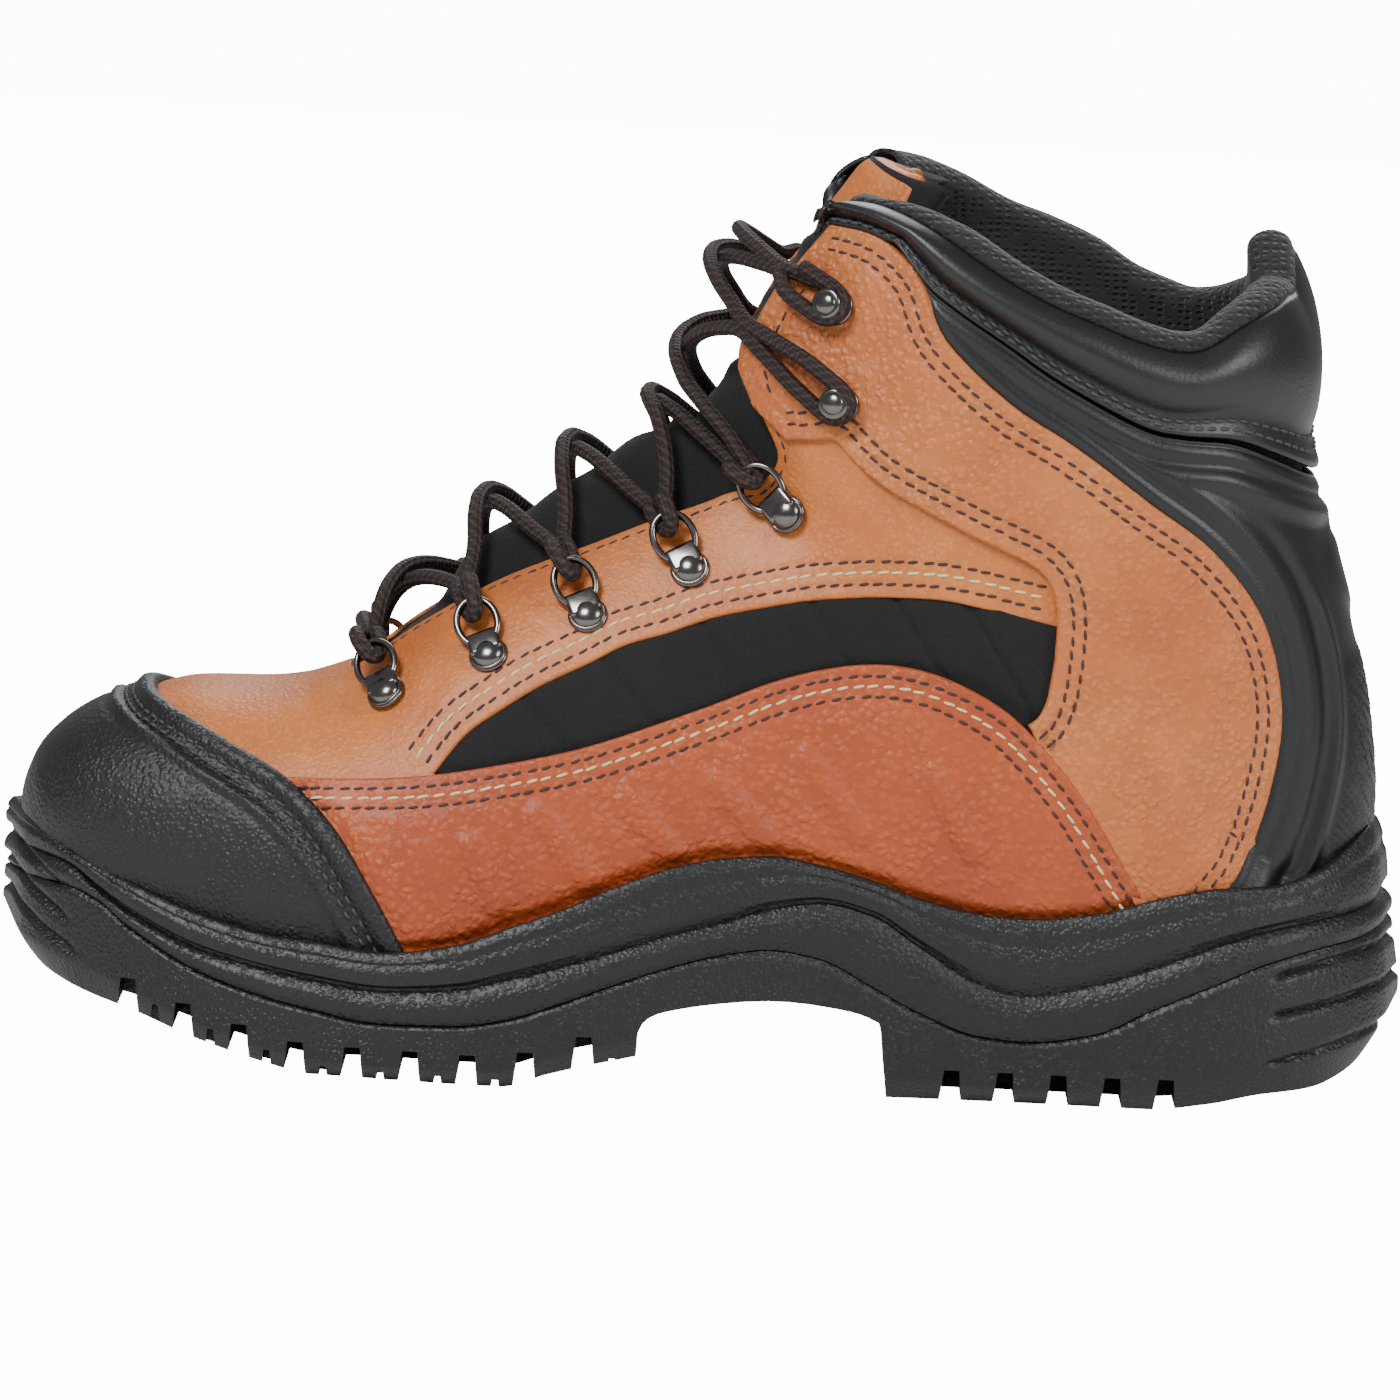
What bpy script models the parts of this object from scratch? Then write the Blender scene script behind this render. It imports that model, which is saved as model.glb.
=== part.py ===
# Left ankle-high safety work boot, standing empty on its sole.
# Metres, +Z up. The toe points to -X, the heel to +X, the outer (lateral) side is -Y.
# The origin is on the floor, under the middle of the boot's outline.
import math

import bmesh
import bpy
import numpy as np
from mathutils import Matrix, Vector

# Driving dimensions
length = 0.3132
ball_width = 0.112
heel_height = 0.035
shaft_rise = 0.165
upper_wall = 0.002
overlay = 0.002
fit_gap = 0.0003
seam_gap = 0.0006
outline_shift = 0.0012
cup_gap = 0.0007
insole_gap = 0.0021
insole_thickness = 0.0045
insole_draw = 0.0014
collar_outside = 0.0026
collar_inside = 0.0085
tongue_thickness = 0.0095
tongue_wing = 0.008
groove_width = 0.0038
groove_depth = 0.0055
groove_pitch = 0.0126
heel_groove_pitch = 0.0118
centre_rib = 0.030
lace_diameter = 0.0037
lace_bow = 0.0008
lace_dip = 0.5
ring_wire = 0.0019
ring_width = 0.0110
ring_reach = 0.0092
plate_length = 0.0090
plate_width = 0.0080
plate_thickness = 0.0012
rivet_diameter = 0.0076
rivet_rise = 0.0021
hook_head = 0.0066
hook_stem = 0.0036
hook_rise = 0.0058
hook_base = 0.0088
hook_flange = 0.0016
hook_cap = 0.0020

# The upper's form: a row for each section from the toe to above the collar.
# Each section is a plane through a low point (foot, rise_low) and a high point on the crown.
# along_*: share of length from the toe tip; foot: share of heel_height; rise_*: share of
# shaft_rise above heel_height; wide, sole_wide, shift, gap, puff: shares of ball_width;
# waist: where the section is widest; round: exponent of the section above that.
form_columns = ("along_low", "foot", "rise_low", "along_top", "rise_top", "wide", "sole_wide",
                "shift", "waist", "round", "gap", "puff")
form_rows = (
    (0.023, 1.14, 0.000, 0.023, 0.030, 0.000, 0.000, 0.054, 0.40, 2.4, 0.000, -0.027),
    (0.032, 1.07, 0.000, 0.020, 0.100, 0.134, 0.116, 0.054, 0.40, 2.4, 0.000, -0.027),
    (0.050, 1.03, 0.000, 0.027, 0.155, 0.223, 0.205, 0.049, 0.38, 2.5, 0.000, -0.027),
    (0.075, 0.94, 0.000, 0.047, 0.202, 0.290, 0.268, 0.045, 0.36, 2.5, 0.000, -0.027),
    (0.110, 0.84, 0.000, 0.082, 0.242, 0.344, 0.321, 0.037, 0.34, 2.4, 0.000, -0.027),
    (0.162, 0.74, 0.000, 0.136, 0.278, 0.388, 0.366, 0.027, 0.32, 2.3, 0.000, -0.027),
    (0.225, 0.64, 0.000, 0.190, 0.284, 0.420, 0.397, 0.013, 0.32, 2.2, 0.000, -0.027),
    (0.302, 0.60, 0.000, 0.238, 0.309, 0.442, 0.415, 0.000, 0.32, 2.1, 0.080, -0.027),
    (0.379, 0.69, 0.000, 0.289, 0.391, 0.433, 0.402, -0.009, 0.33, 2.0, 0.125, -0.018),
    (0.462, 0.89, 0.000, 0.344, 0.467, 0.402, 0.366, -0.013, 0.34, 2.0, 0.143, 0.045),
    (0.545, 1.03, 0.000, 0.395, 0.521, 0.371, 0.321, -0.013, 0.36, 2.0, 0.152, 0.062),
    (0.634, 1.04, 0.000, 0.443, 0.576, 0.353, 0.299, -0.009, 0.38, 2.0, 0.161, 0.080),
    (0.730, 1.00, 0.000, 0.478, 0.615, 0.348, 0.295, -0.004, 0.42, 2.0, 0.170, 0.080),
    (0.826, 1.00, 0.000, 0.495, 0.655, 0.348, 0.295, 0.000, 0.45, 2.0, 0.196, 0.054),
    (0.902, 1.04, 0.000, 0.492, 0.703, 0.344, 0.259, 0.000, 0.50, 2.0, 0.214, 0.009),
    (0.941, 1.07, 0.000, 0.489, 0.745, 0.339, 0.179, 0.000, 0.55, 2.0, 0.179, -0.045),
    (0.961, 1.14, 0.000, 0.490, 0.776, 0.335, 0.054, 0.000, 0.57, 2.0, 0.143, -0.062),
    (0.965, 1.00, 0.103, 0.494, 0.806, 0.335, 0.000, 0.000, 0.58, 2.0, 0.143, -0.062),
    (0.965, 1.00, 0.200, 0.500, 0.836, 0.335, 0.000, 0.000, 0.58, 2.0, 0.152, -0.062),
    (0.958, 1.00, 0.315, 0.510, 0.870, 0.335, 0.000, 0.000, 0.57, 2.0, 0.152, -0.062),
    (0.945, 1.00, 0.418, 0.522, 0.903, 0.339, 0.000, 0.000, 0.56, 2.0, 0.161, -0.054),
    (0.924, 1.00, 0.545, 0.537, 0.939, 0.344, 0.000, 0.000, 0.55, 2.0, 0.170, -0.054),
    (0.907, 1.00, 0.685, 0.556, 0.982, 0.348, 0.000, 0.000, 0.54, 2.0, 0.179, -0.045),
    (0.896, 1.00, 0.824, 0.578, 1.036, 0.353, 0.000, 0.000, 0.54, 2.0, 0.188, -0.040),
    (0.886, 1.00, 0.952, 0.605, 1.097, 0.353, 0.000, 0.000, 0.54, 2.0, 0.196, -0.036),
)
last_section = len(form_rows) - 1
collar_start = 19.6
throat_start = 7.1
tongue_end = 23.3
ankle_start = 12
insole_end = 15.0
low_round = 2.4
above_points = 5
below_points = 3

# The sole: a row for each station. along: share of length from the toe tip; half and
# shift: shares of ball_width; the heights are shares of heel_height.
sole_columns = ("along", "half", "shift", "tread", "inside", "parting", "step", "rim")
sole_rows = (
    (0.000, 0.000, 0.054, 0.743, 0.857, 1.043, 1.257, 1.471),
    (0.020, 0.196, 0.054, 0.520, 0.686, 1.043, 1.229, 1.429),
    (0.050, 0.295, 0.049, 0.414, 0.629, 1.029, 1.186, 1.280),
    (0.075, 0.341, 0.046, 0.351, 0.557, 0.960, 1.051, 1.183),
    (0.100, 0.384, 0.040, 0.303, 0.500, 0.814, 0.923, 1.100),
    (0.150, 0.433, 0.027, 0.160, 0.386, 0.589, 0.737, 0.951),
    (0.200, 0.464, 0.013, 0.049, 0.314, 0.463, 0.646, 0.860),
    (0.232, 0.479, 0.006, 0.000, 0.286, 0.411, 0.606, 0.840),
    (0.277, 0.493, 0.000, 0.000, 0.271, 0.354, 0.566, 0.806),
    (0.331, 0.500, -0.013, 0.000, 0.271, 0.371, 0.606, 0.886),
    (0.366, 0.494, -0.020, 0.000, 0.286, 0.423, 0.686, 1.009),
    (0.400, 0.482, -0.027, 0.094, 0.329, 0.526, 0.771, 1.129),
    (0.440, 0.460, -0.029, 0.180, 0.429, 0.663, 0.886, 1.291),
    (0.480, 0.433, -0.031, 0.243, 0.629, 0.789, 1.006, 1.426),
    (0.516, 0.406, -0.034, 0.229, 0.729, 0.874, 1.094, 1.491),
    (0.550, 0.384, -0.036, 0.143, 0.757, 0.914, 1.183, 1.511),
    (0.583, 0.372, -0.029, 0.043, 0.729, 0.869, 1.229, 1.460),
    (0.620, 0.366, -0.022, 0.000, 0.571, 0.714, 1.160, 1.374),
    (0.653, 0.359, -0.016, 0.000, 0.414, 0.560, 0.980, 1.274),
    (0.700, 0.357, -0.009, 0.000, 0.314, 0.414, 0.749, 1.189),
    (0.730, 0.358, -0.005, 0.000, 0.300, 0.394, 0.694, 1.177),
    (0.780, 0.362, 0.000, 0.000, 0.329, 0.463, 0.786, 1.234),
    (0.819, 0.362, 0.000, 0.000, 0.371, 0.634, 0.909, 1.343),
    (0.860, 0.357, 0.000, 0.046, 0.414, 0.800, 1.057, 1.423),
    (0.899, 0.336, 0.000, 0.120, 0.457, 0.954, 1.171, 1.451),
    (0.937, 0.286, 0.000, 0.160, 0.500, 1.051, 1.240, 1.557),
    (0.968, 0.214, 0.000, 0.257, 0.571, 1.103, 1.286, 1.714),
    (0.987, 0.138, 0.000, 0.371, 0.629, 1.157, 1.329, 1.800),
    (1.000, 0.000, 0.000, 0.514, 0.714, 1.200, 1.371, 1.829),
)
heel_lean = 0.16
lean_start = 0.85
lean_height = 0.8
end_share = 0.2
sole_inset = {"tread": 0.0050, "side": 0.0004, "parting": 0.0001, "shelf": 0.0030, "inside": 0.0048,
              "band": 0.0010, "bulge": 0.0002, "step": 0.0018, "roll": 0.0004, "rim": 0.0034}

# Seam lines seen from the side: (share of length, share of shaft_rise above heel_height)
cap_rim = ((0.104, 0.360), (0.106, 0.262), (0.118, 0.248), (0.159, 0.214), (0.207, 0.172),
           (0.242, 0.116), (0.269, 0.041), (0.293, -0.036), (0.306, -0.095))
foxing_top = ((0.202, 0.174), (0.251, 0.178), (0.296, 0.188), (0.340, 0.204), (0.412, 0.238),
              (0.488, 0.292), (0.550, 0.341), (0.605, 0.365), (0.652, 0.359), (0.697, 0.323),
              (0.729, 0.275), (0.763, 0.201), (0.794, 0.113), (0.811, 0.063), (0.835, -0.020))
ankle_rear = ((0.470, 0.942), (0.549, 0.938), (0.577, 0.939), (0.599, 0.931), (0.615, 0.913),
              (0.628, 0.889), (0.637, 0.861), (0.652, 0.799), (0.698, 0.721), (0.746, 0.667),
              (0.798, 0.599), (0.844, 0.537), (0.882, 0.444), (0.898, 0.324), (0.892, 0.210),
              (0.875, 0.111), (0.858, 0.060), (0.845, -0.030))
ankle_front = ((0.470, 0.640), (0.556, 0.653), (0.576, 0.658), (0.589, 0.636), (0.614, 0.599),
               (0.678, 0.540), (0.723, 0.501), (0.737, 0.446), (0.735, 0.350), (0.729, 0.310),
               (0.721, 0.297))
collar_seam = ((0.637, 0.873), (0.658, 0.843), (0.694, 0.801), (0.730, 0.758), (0.787, 0.704),
               (0.816, 0.692), (0.852, 0.687), (0.881, 0.667), (0.914, 0.638), (0.960, 0.615))
# The collar's top edge: share of length, lateral and medial rise
collar_top = ((0.480, 0.945, 0.990), (0.552, 0.955, 1.000), (0.586, 0.969, 1.015), (0.612, 0.965, 1.012),
              (0.644, 0.940, 0.988), (0.684, 0.894, 0.948), (0.720, 0.859, 0.924), (0.755, 0.834, 0.897),
              (0.784, 0.814, 0.865), (0.810, 0.803, 0.847), (0.829, 0.808, 0.838), (0.851, 0.835, 0.844),
              (0.874, 0.861, 0.862), (0.896, 0.879, 0.879), (0.990, 0.885, 0.885))
# The arch opening under the sole, and where the grooves start
arch_outline = ((0.4580, -0.100), (0.4595, 0.180), (0.4630, 0.440), (0.4900, 0.540), (0.5500, 0.600),
                (0.6000, 0.560), (0.6240, 0.500), (0.6300, 0.420), (0.6360, 0.000), (0.6365, -0.100))
first_groove = 0.101
forefoot_grooves = 9
first_heel_groove = 0.681
heel_grooves = 5

# Lacing: section, share of the way up that section, and height over the leather, in fit gaps
ring_seats = ((7.49, 0.865, 2), (8.60, 0.815, -1), (9.74, 0.805, -1), (11.04, 0.820, 0), (13.03, 0.845, 4))
hook_seats = ((17.62, 0.82, 1), (19.82, 0.87, 0))


def column(columns, rows, name):
    return np.array([row[columns.index(name)] for row in rows])


def slopes(keys, values):
    steps = np.diff(keys)
    rates = np.diff(values) / steps
    product = rates[:-1] * rates[1:]
    total = rates[:-1] + rates[1:]
    inner = np.where(product > 0, 2 * product / np.where(total == 0, 1, total), 0.0)
    return np.concatenate([[rates[0]], inner, [rates[-1]]])


def smooth_value(keys, values, at):
    # A cubic through the rows that never passes beyond two neighbouring values
    rates = slopes(keys, values)
    cell = int(np.clip(np.searchsorted(keys, at, side="right") - 1, 0, len(keys) - 2))
    span = keys[cell + 1] - keys[cell]
    f = (at - keys[cell]) / span
    return ((1 + 2 * f) * (1 - f) ** 2 * values[cell] + f * (1 - f) ** 2 * span * rates[cell]
            + f * f * (3 - 2 * f) * values[cell + 1] + f * f * (f - 1) * span * rates[cell + 1])


form_keys = np.arange(len(form_rows), dtype=float)
form_values = {name: column(form_columns, form_rows, name) for name in form_columns}
sole_values = {name: column(sole_columns, sole_rows, name) for name in sole_columns}


def form_at(section, name):
    return smooth_value(form_keys, form_values[name], section)


def sole_at(along, name):
    return smooth_value(sole_values["along"], sole_values[name], along)


def side_point(along, rise):
    return (along - 0.5) * length, heel_height + rise * shaft_rise


def section_frame(section):
    # The low and high points of a section, and its centre line's shift
    low_x, low_z = side_point(form_at(section, "along_low"), form_at(section, "rise_low"))
    low_z += (form_at(section, "foot") - 1) * heel_height
    top_x, top_z = side_point(form_at(section, "along_top"), form_at(section, "rise_top"))
    shift = form_at(section, "shift") * ball_width + outline_shift
    return Vector((low_x, shift, low_z)), Vector((top_x, shift, top_z))


def half_width(section, up):
    wide = form_at(section, "wide") * ball_width
    if wide <= 0:
        return 0.0
    waist = form_at(section, "waist")
    if up >= waist:
        power = form_at(section, "round")
        share = min(1.0, (up - waist) / (1 - waist))
        return wide * (1 - share ** power) ** (1 / power)
    base = min(1.0, form_at(section, "sole_wide") * ball_width / wide)
    reach = (1 - base ** low_round) ** (1 / low_round)
    share = (waist - max(up, 0)) / waist * reach
    return wide * (1 - share ** low_round) ** (1 / low_round)


def up_shares(section):
    # Shares of the height for the points of half a section, from the crown down
    power = form_at(section, "round")
    waist = form_at(section, "waist")
    shares = []
    for step in range(above_points):
        turn = step / above_points * math.pi / 2
        shares.append(waist + (1 - waist) * math.cos(turn) ** (2 / power))
    wide = max(form_at(section, "wide"), 1e-6)
    base = min(1.0, form_at(section, "sole_wide") / wide)
    reach = (1 - base ** low_round) ** (1 / low_round)
    last_turn = math.asin(min(1.0, reach ** (low_round / 2)))
    for step in range(below_points + 1):
        turn = step / below_points * last_turn
        share = math.sin(turn) ** (2 / low_round) / reach if reach > 0 else step / below_points
        shares.append(waist * (1 - share))
    return shares


def form_point(section, up, side):
    low, top = section_frame(section)
    point = low.lerp(top, up)
    point.y += side * half_width(section, up)
    return point


def form_normal(section, up, side):
    step = 0.01
    along = form_point(section + step, up, side) - form_point(section - step, up, side)
    around = form_point(section, up + step, side) - form_point(section, up - step, side)
    normal = along.cross(around).normalized()
    return normal if normal.y * side > 0 else -normal


def sections_between(first, last):
    # Whole rows, with a section between two rows where the form turns fast
    marks = [float(row) for row in range(len(form_rows))] + [0.35, throat_start]
    return sorted({mark for mark in marks if first < mark < last} | {float(first), float(last)})


def clear_scene():
    for old in list(bpy.data.objects):
        bpy.data.objects.remove(old, do_unlink=True)
    for old in list(bpy.data.collections):
        bpy.data.collections.remove(old)


clear_scene()
parts = bpy.data.collections.new("work_boot")
cutters = bpy.data.collections.new("cutters")
bpy.context.scene.collection.children.link(parts)
bpy.context.scene.collection.children.link(cutters)


def finish(name, colour, roughness, metallic=0.0):
    material = bpy.data.materials.new(name)
    material.use_nodes = True
    shader = material.node_tree.nodes["Principled BSDF"]
    shader.inputs["Base Color"].default_value = (*colour, 1)
    shader.inputs["Roughness"].default_value = roughness
    shader.inputs["Metallic"].default_value = metallic
    return material


def add_part(name, mesh, material):
    piece = bpy.data.objects.new(name, mesh)
    piece.data.materials.clear()
    piece.data.materials.append(material)
    parts.objects.link(piece)
    return piece


def add_cutter(name, mesh):
    piece = bpy.data.objects.new(name, mesh)
    piece.hide_render = True
    piece.display_type = "WIRE"
    cutters.objects.link(piece)
    return piece


def mesh_from(name, points, faces, recalculate=True):
    shape = bmesh.new()
    verts = [shape.verts.new(point) for point in points]
    for face in faces:
        corners = []
        for index in face:
            if verts[index] not in corners:
                corners.append(verts[index])
        if len(corners) > 2:
            shape.faces.new(corners)
    bmesh.ops.remove_doubles(shape, verts=shape.verts, dist=1e-6)
    bmesh.ops.dissolve_degenerate(shape, edges=shape.edges, dist=1e-7)
    bmesh.ops.triangulate(shape, faces=shape.faces)
    if recalculate:
        bmesh.ops.recalc_face_normals(shape, faces=shape.faces)
    mesh = bpy.data.meshes.new(name)
    shape.to_mesh(mesh)
    shape.free()
    return mesh


def boolean(piece, cutter, operation="DIFFERENCE"):
    step = piece.modifiers.new(cutter.name, "BOOLEAN")
    step.operation = operation
    step.solver = "EXACT"
    step.object = cutter
    return step


def form_surface(first, last):
    # The form between two sections: its points, the way out at each, its faces and its feet
    rows = sections_between(first, last)
    shape = bmesh.new()
    count = 2 * (above_points + below_points) + 1
    verts = []
    for section in rows:
        shares = up_shares(section)
        verts += [shape.verts.new(form_point(section, share, -1)) for share in reversed(shares[1:])]
        verts += [shape.verts.new(form_point(section, share, 1)) for share in shares]
    for row in range(len(rows) - 1):
        for step in range(count - 1):
            near = row * count + step
            shape.faces.new((verts[near + 1], verts[near], verts[near + count], verts[near + count + 1]))
    feet = [(verts[row * count], verts[row * count + count - 1]) for row in range(len(rows))]
    merged = bmesh.ops.find_doubles(shape, verts=shape.verts, dist=1e-5)["targetmap"]
    feet = [tuple(merged.get(vert, vert) for vert in pair) for pair in feet]
    bmesh.ops.weld_verts(shape, targetmap=merged)
    shape.normal_update()
    shape.verts.index_update()
    points = [vert.co.copy() for vert in shape.verts]
    ways = [vert.normal.copy() for vert in shape.verts]
    for vert in {vert for pair in feet for vert in pair}:
        ways[vert.index].z = 0
        ways[vert.index].normalize()
    faces = [tuple(vert.index for vert in face.verts) for face in shape.faces]
    borders = [tuple(loop.vert.index for loop in (edge.link_loops[0], edge.link_loops[0].link_loop_next))
               for edge in shape.edges if edge.is_boundary]
    feet = [tuple(vert.index for vert in pair) for pair in feet]
    shape.free()
    return points, ways, faces, borders, feet


def form_solid(name, lift, drop):
    # The whole form as one solid, moved out by lift, with its floor lowered by drop
    points, ways, faces, borders, feet = form_surface(0, last_section)
    floor = {index for pair in feet for index in pair}
    moved = [point + way * lift for point, way in zip(points, ways)]
    for index in floor:
        moved[index].z -= drop
    for near, far in zip(feet, feet[1:]):
        faces.append((near[0], near[1], far[1], far[0]))
    follows = dict(borders)
    top_start = max((index for index in follows if index not in floor), key=lambda index: moved[index].z)
    loop = [top_start]
    while follows[loop[-1]] != top_start and len(loop) < len(follows):
        loop.append(follows[loop[-1]])
    top_loop = [index for index in loop if index not in floor or index in feet[-1]]
    faces.append(tuple(top_loop))
    return mesh_from(name, moved, faces)


def form_shell(name, material, first, last, inner, outer):
    # A wall between two lifts of the form, open at its floor and its ends
    points, ways, faces, borders, feet = form_surface(first, last)
    count = len(points)
    both = [point + way * outer for point, way in zip(points, ways)]
    both += [point + way * inner for point, way in zip(points, ways)]
    walls = faces + [tuple(index + count for index in reversed(face)) for face in faces]
    walls += [(end, start, start + count, end + count) for start, end in borders]
    return add_part(name, mesh_from(name, both, walls, recalculate=False), material)


def curve_through(points, steps=3):
    # A smooth line through the points, with its ends kept
    points = [np.array(point, float) for point in points]
    line = []
    for index in range(len(points) - 1):
        before = points[max(0, index - 1)]
        start = points[index]
        end = points[index + 1]
        after = points[min(len(points) - 1, index + 2)]
        for step in range(steps):
            f = step / steps
            bend = 2 * before - 5 * start + 4 * end - after
            twist = 3 * start - before - 3 * end + after
            line.append(0.5 * (2 * start + (end - before) * f + bend * f * f + twist * f ** 3))
    line.append(points[-1])
    return line


def seam_line(rows, steps=1, move=0.0):
    line = [side_point(along, rise) for along, rise in curve_through(rows, steps)]
    return [(x + move, z) for x, z in line]


def prism(name, outline, side=0):
    # A side outline carried across the boot; side -1 or 1 keeps only that half
    width = ball_width
    near = -width if side <= 0 else 0.0
    far = width if side >= 0 else 0.0
    count = len(outline)
    points = [(x, near, z) for x, z in outline] + [(x, far, z) for x, z in outline]
    faces = [tuple(range(count)), tuple(range(2 * count - 1, count - 1, -1))]
    for index in range(count):
        after = (index + 1) % count
        faces.append((index, after, after + count, index + count))
    return add_cutter(name, mesh_from(name, points, faces))


def corner(along, rise):
    return side_point(along, rise)


leather = finish("full_grain_leather", (0.50, 0.20, 0.065), 0.5)
foxing_leather = finish("foxing_leather", (0.42, 0.13, 0.04), 0.5)
toe_rubber = finish("moulded_rubber", (0.012, 0.013, 0.015), 0.55)
sole_rubber = finish("sole_rubber", (0.010, 0.011, 0.012), 0.65)
collar_leather = finish("padded_leather", (0.011, 0.011, 0.012), 0.4)
tongue_suede = finish("tongue_suede", (0.010, 0.010, 0.011), 0.85)
insole_cloth = finish("insole_cloth", (0.02, 0.02, 0.022), 0.9)
gunmetal = finish("gunmetal", (0.22, 0.20, 0.18), 0.25, 1.0)
lace_cord = finish("lace_cord", (0.03, 0.012, 0.012), 0.8)


def ring_loft(name, stations, ring):
    # A closed solid through one ring of points at each station along the sole
    rings = [ring(along) for along in stations]
    count = len(rings[0])
    points = [point for one in rings for point in one]
    faces = []
    for row in range(len(stations) - 1):
        for step in range(count):
            after = (step + 1) % count
            base = row * count
            faces.append((base + step, base + after, base + count + after, base + count + step))
    return mesh_from(name, points, faces)


def sole_point(along, side, inset, height):
    # A point of the sole's side, set in from its outline square to that outline
    end = np.clip((abs(2 * along - 1) - (1 - end_share)) / end_share, 0, 1) ** 2
    toward = 1 if along > 0.5 else -1
    lean = np.clip((along - lean_start) / (1 - lean_start), 0, 1) * heel_lean
    inset = inset + lean * max(0.0, height - lean_height * heel_height)
    half = sole_at(along, "half") * ball_width
    across = max(0.0, half - min(inset * math.sqrt(1 - end * end), half * 0.9))
    x = (along - 0.5) * length - toward * inset * end
    return x, sole_at(along, "shift") * ball_width + outline_shift + side * across, height


sole_stations = [0.0, 0.005, 0.016, 0.034, 0.060, 0.090, 0.130, 0.180, 0.232, 0.277,
                 0.331, 0.366, 0.410, 0.450, 0.490, 0.530, 0.575, 0.615, 0.653, 0.700,
                 0.760, 0.819, 0.860, 0.899, 0.930, 0.955, 0.974, 0.988, 0.996, 1.0]


def outsole_ring(along):
    tread = sole_at(along, "tread") * heel_height
    inside = sole_at(along, "inside") * heel_height
    parting = sole_at(along, "parting") * heel_height
    half = [("tread", tread), ("side", tread + 0.35 * (parting - tread)), ("parting", parting),
            ("shelf", parting), ("inside", inside)]
    right = [sole_point(along, 1, sole_inset[name], height) for name, height in half]
    left = [sole_point(along, -1, sole_inset[name], height) for name, height in reversed(half)]
    return right + left


def midsole_ring(along):
    inside = sole_at(along, "inside") * heel_height + fit_gap
    parting = sole_at(along, "parting") * heel_height + fit_gap
    step = sole_at(along, "step") * heel_height
    rim = sole_at(along, "rim") * heel_height
    half = [("inside", inside), ("shelf", parting), ("band", parting), ("bulge", 0.5 * (parting + step)),
            ("step", step), ("roll", step + 0.45 * (rim - step)), ("rim", rim)]
    extra = {"inside": fit_gap, "shelf": fit_gap}
    right = [sole_point(along, 1, sole_inset[name] + extra.get(name, 0), height) for name, height in half]
    left = [sole_point(along, -1, sole_inset[name] + extra.get(name, 0), height)
            for name, height in reversed(half)]
    return right + left


def box_cutter(name, boxes):
    # Separate boxes in one cutter: centre, size and turn about Z for each
    shape = bmesh.new()
    for centre, size, turn in boxes:
        place = Matrix.Translation(centre) @ Matrix.Rotation(turn, 4, "Z") @ Matrix.Diagonal((*size, 1))
        bmesh.ops.create_cube(shape, size=1.0, matrix=place)
    mesh = bpy.data.meshes.new(name)
    shape.to_mesh(mesh)
    shape.free()
    return add_cutter(name, mesh)


def tread_grooves(piece):
    # Grooves from each edge to the centre rib, and crossings of the rib half a pitch on
    side_boxes = []
    rib_boxes = []
    zones = ((first_groove, forefoot_grooves, groove_pitch),
             (first_heel_groove, heel_grooves, heel_groove_pitch))
    for start, count, pitch in zones:
        for index in range(count):
            x = (start - 0.5) * length + index * pitch
            along = x / length + 0.5
            height = sole_at(along, "tread") * heel_height
            shift = sole_at(along, "shift") * ball_width + outline_shift
            reach = 0.6 * ball_width - centre_rib / 2
            for side in (-1, 1):
                centre = Vector((x, shift + side * (centre_rib / 2 + reach / 2), height))
                side_boxes.append((centre, (groove_width, reach, 2 * groove_depth), 0.0))
            if index < count - 1:
                middle = Vector((x + pitch / 2, shift, height))
                rib_boxes.append((middle, (groove_width, 0.72 * centre_rib, 2 * groove_depth), 0.0))
    boolean(piece, box_cutter("edge_grooves", side_boxes))
    boolean(piece, box_cutter("rib_grooves", rib_boxes))


def build_outsole():
    piece = add_part("outsole", ring_loft("outsole", sole_stations, outsole_ring), sole_rubber)
    arch = [((along - 0.5) * length, height * heel_height) for along, height in arch_outline]
    boolean(piece, prism("arch_gap", arch))
    tread_grooves(piece)


def build_midsole():
    piece = add_part("midsole", ring_loft("midsole", sole_stations, midsole_ring), sole_rubber)
    boolean(piece, add_cutter("cup", form_solid("cup", fit_gap + overlay + cup_gap, fit_gap)))
    return piece


def build_insole():
    # A slab on the cup's floor, inside the upper's wall, its top edge drawn in a little
    rows = sections_between(1, insole_end)
    points = []
    for section in rows:
        low, top = section_frame(section)
        half = form_at(section, "sole_wide") * ball_width - upper_wall - insole_gap
        toward_middle = upper_wall if section < 2 else 0
        for height, draw in ((0, 0), (insole_thickness, insole_draw)):
            inner = max(0.002, half - draw)
            x = low.x + toward_middle - (draw if section == insole_end else 0)
            for side in (-1, 1) if height == 0 else (1, -1):
                points.append((x, low.y + side * inner, low.z + height))
    add_part("insole", four_sided("insole", points, len(rows)), insole_cloth)


def four_sided(name, points, rows):
    # A closed solid through rows of four points
    faces = [(0, 1, 2, 3), tuple(range(4 * rows - 1, 4 * rows - 5, -1))]
    for row in range(rows - 1):
        for step in range(4):
            after = (step + 1) % 4
            faces.append((4 * row + step, 4 * row + after, 4 * row + 4 + after, 4 * row + 4 + step))
    return mesh_from(name, points, faces)


def throat_cutter():
    # The opening over the tongue, from the throat's foot to above the collar
    rows = sections_between(throat_start, last_section)
    points = []
    for section in rows:
        low, top = section_frame(section)
        half = form_at(section, "gap") * ball_width
        for up, side in ((0.5, -1), (0.5, 1), (1.35, 1), (1.35, -1)):
            point = low.lerp(top, up)
            points.append((point.x, point.y + side * half, point.z))
    return add_cutter("throat", four_sided("throat", points, len(rows)))


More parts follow.
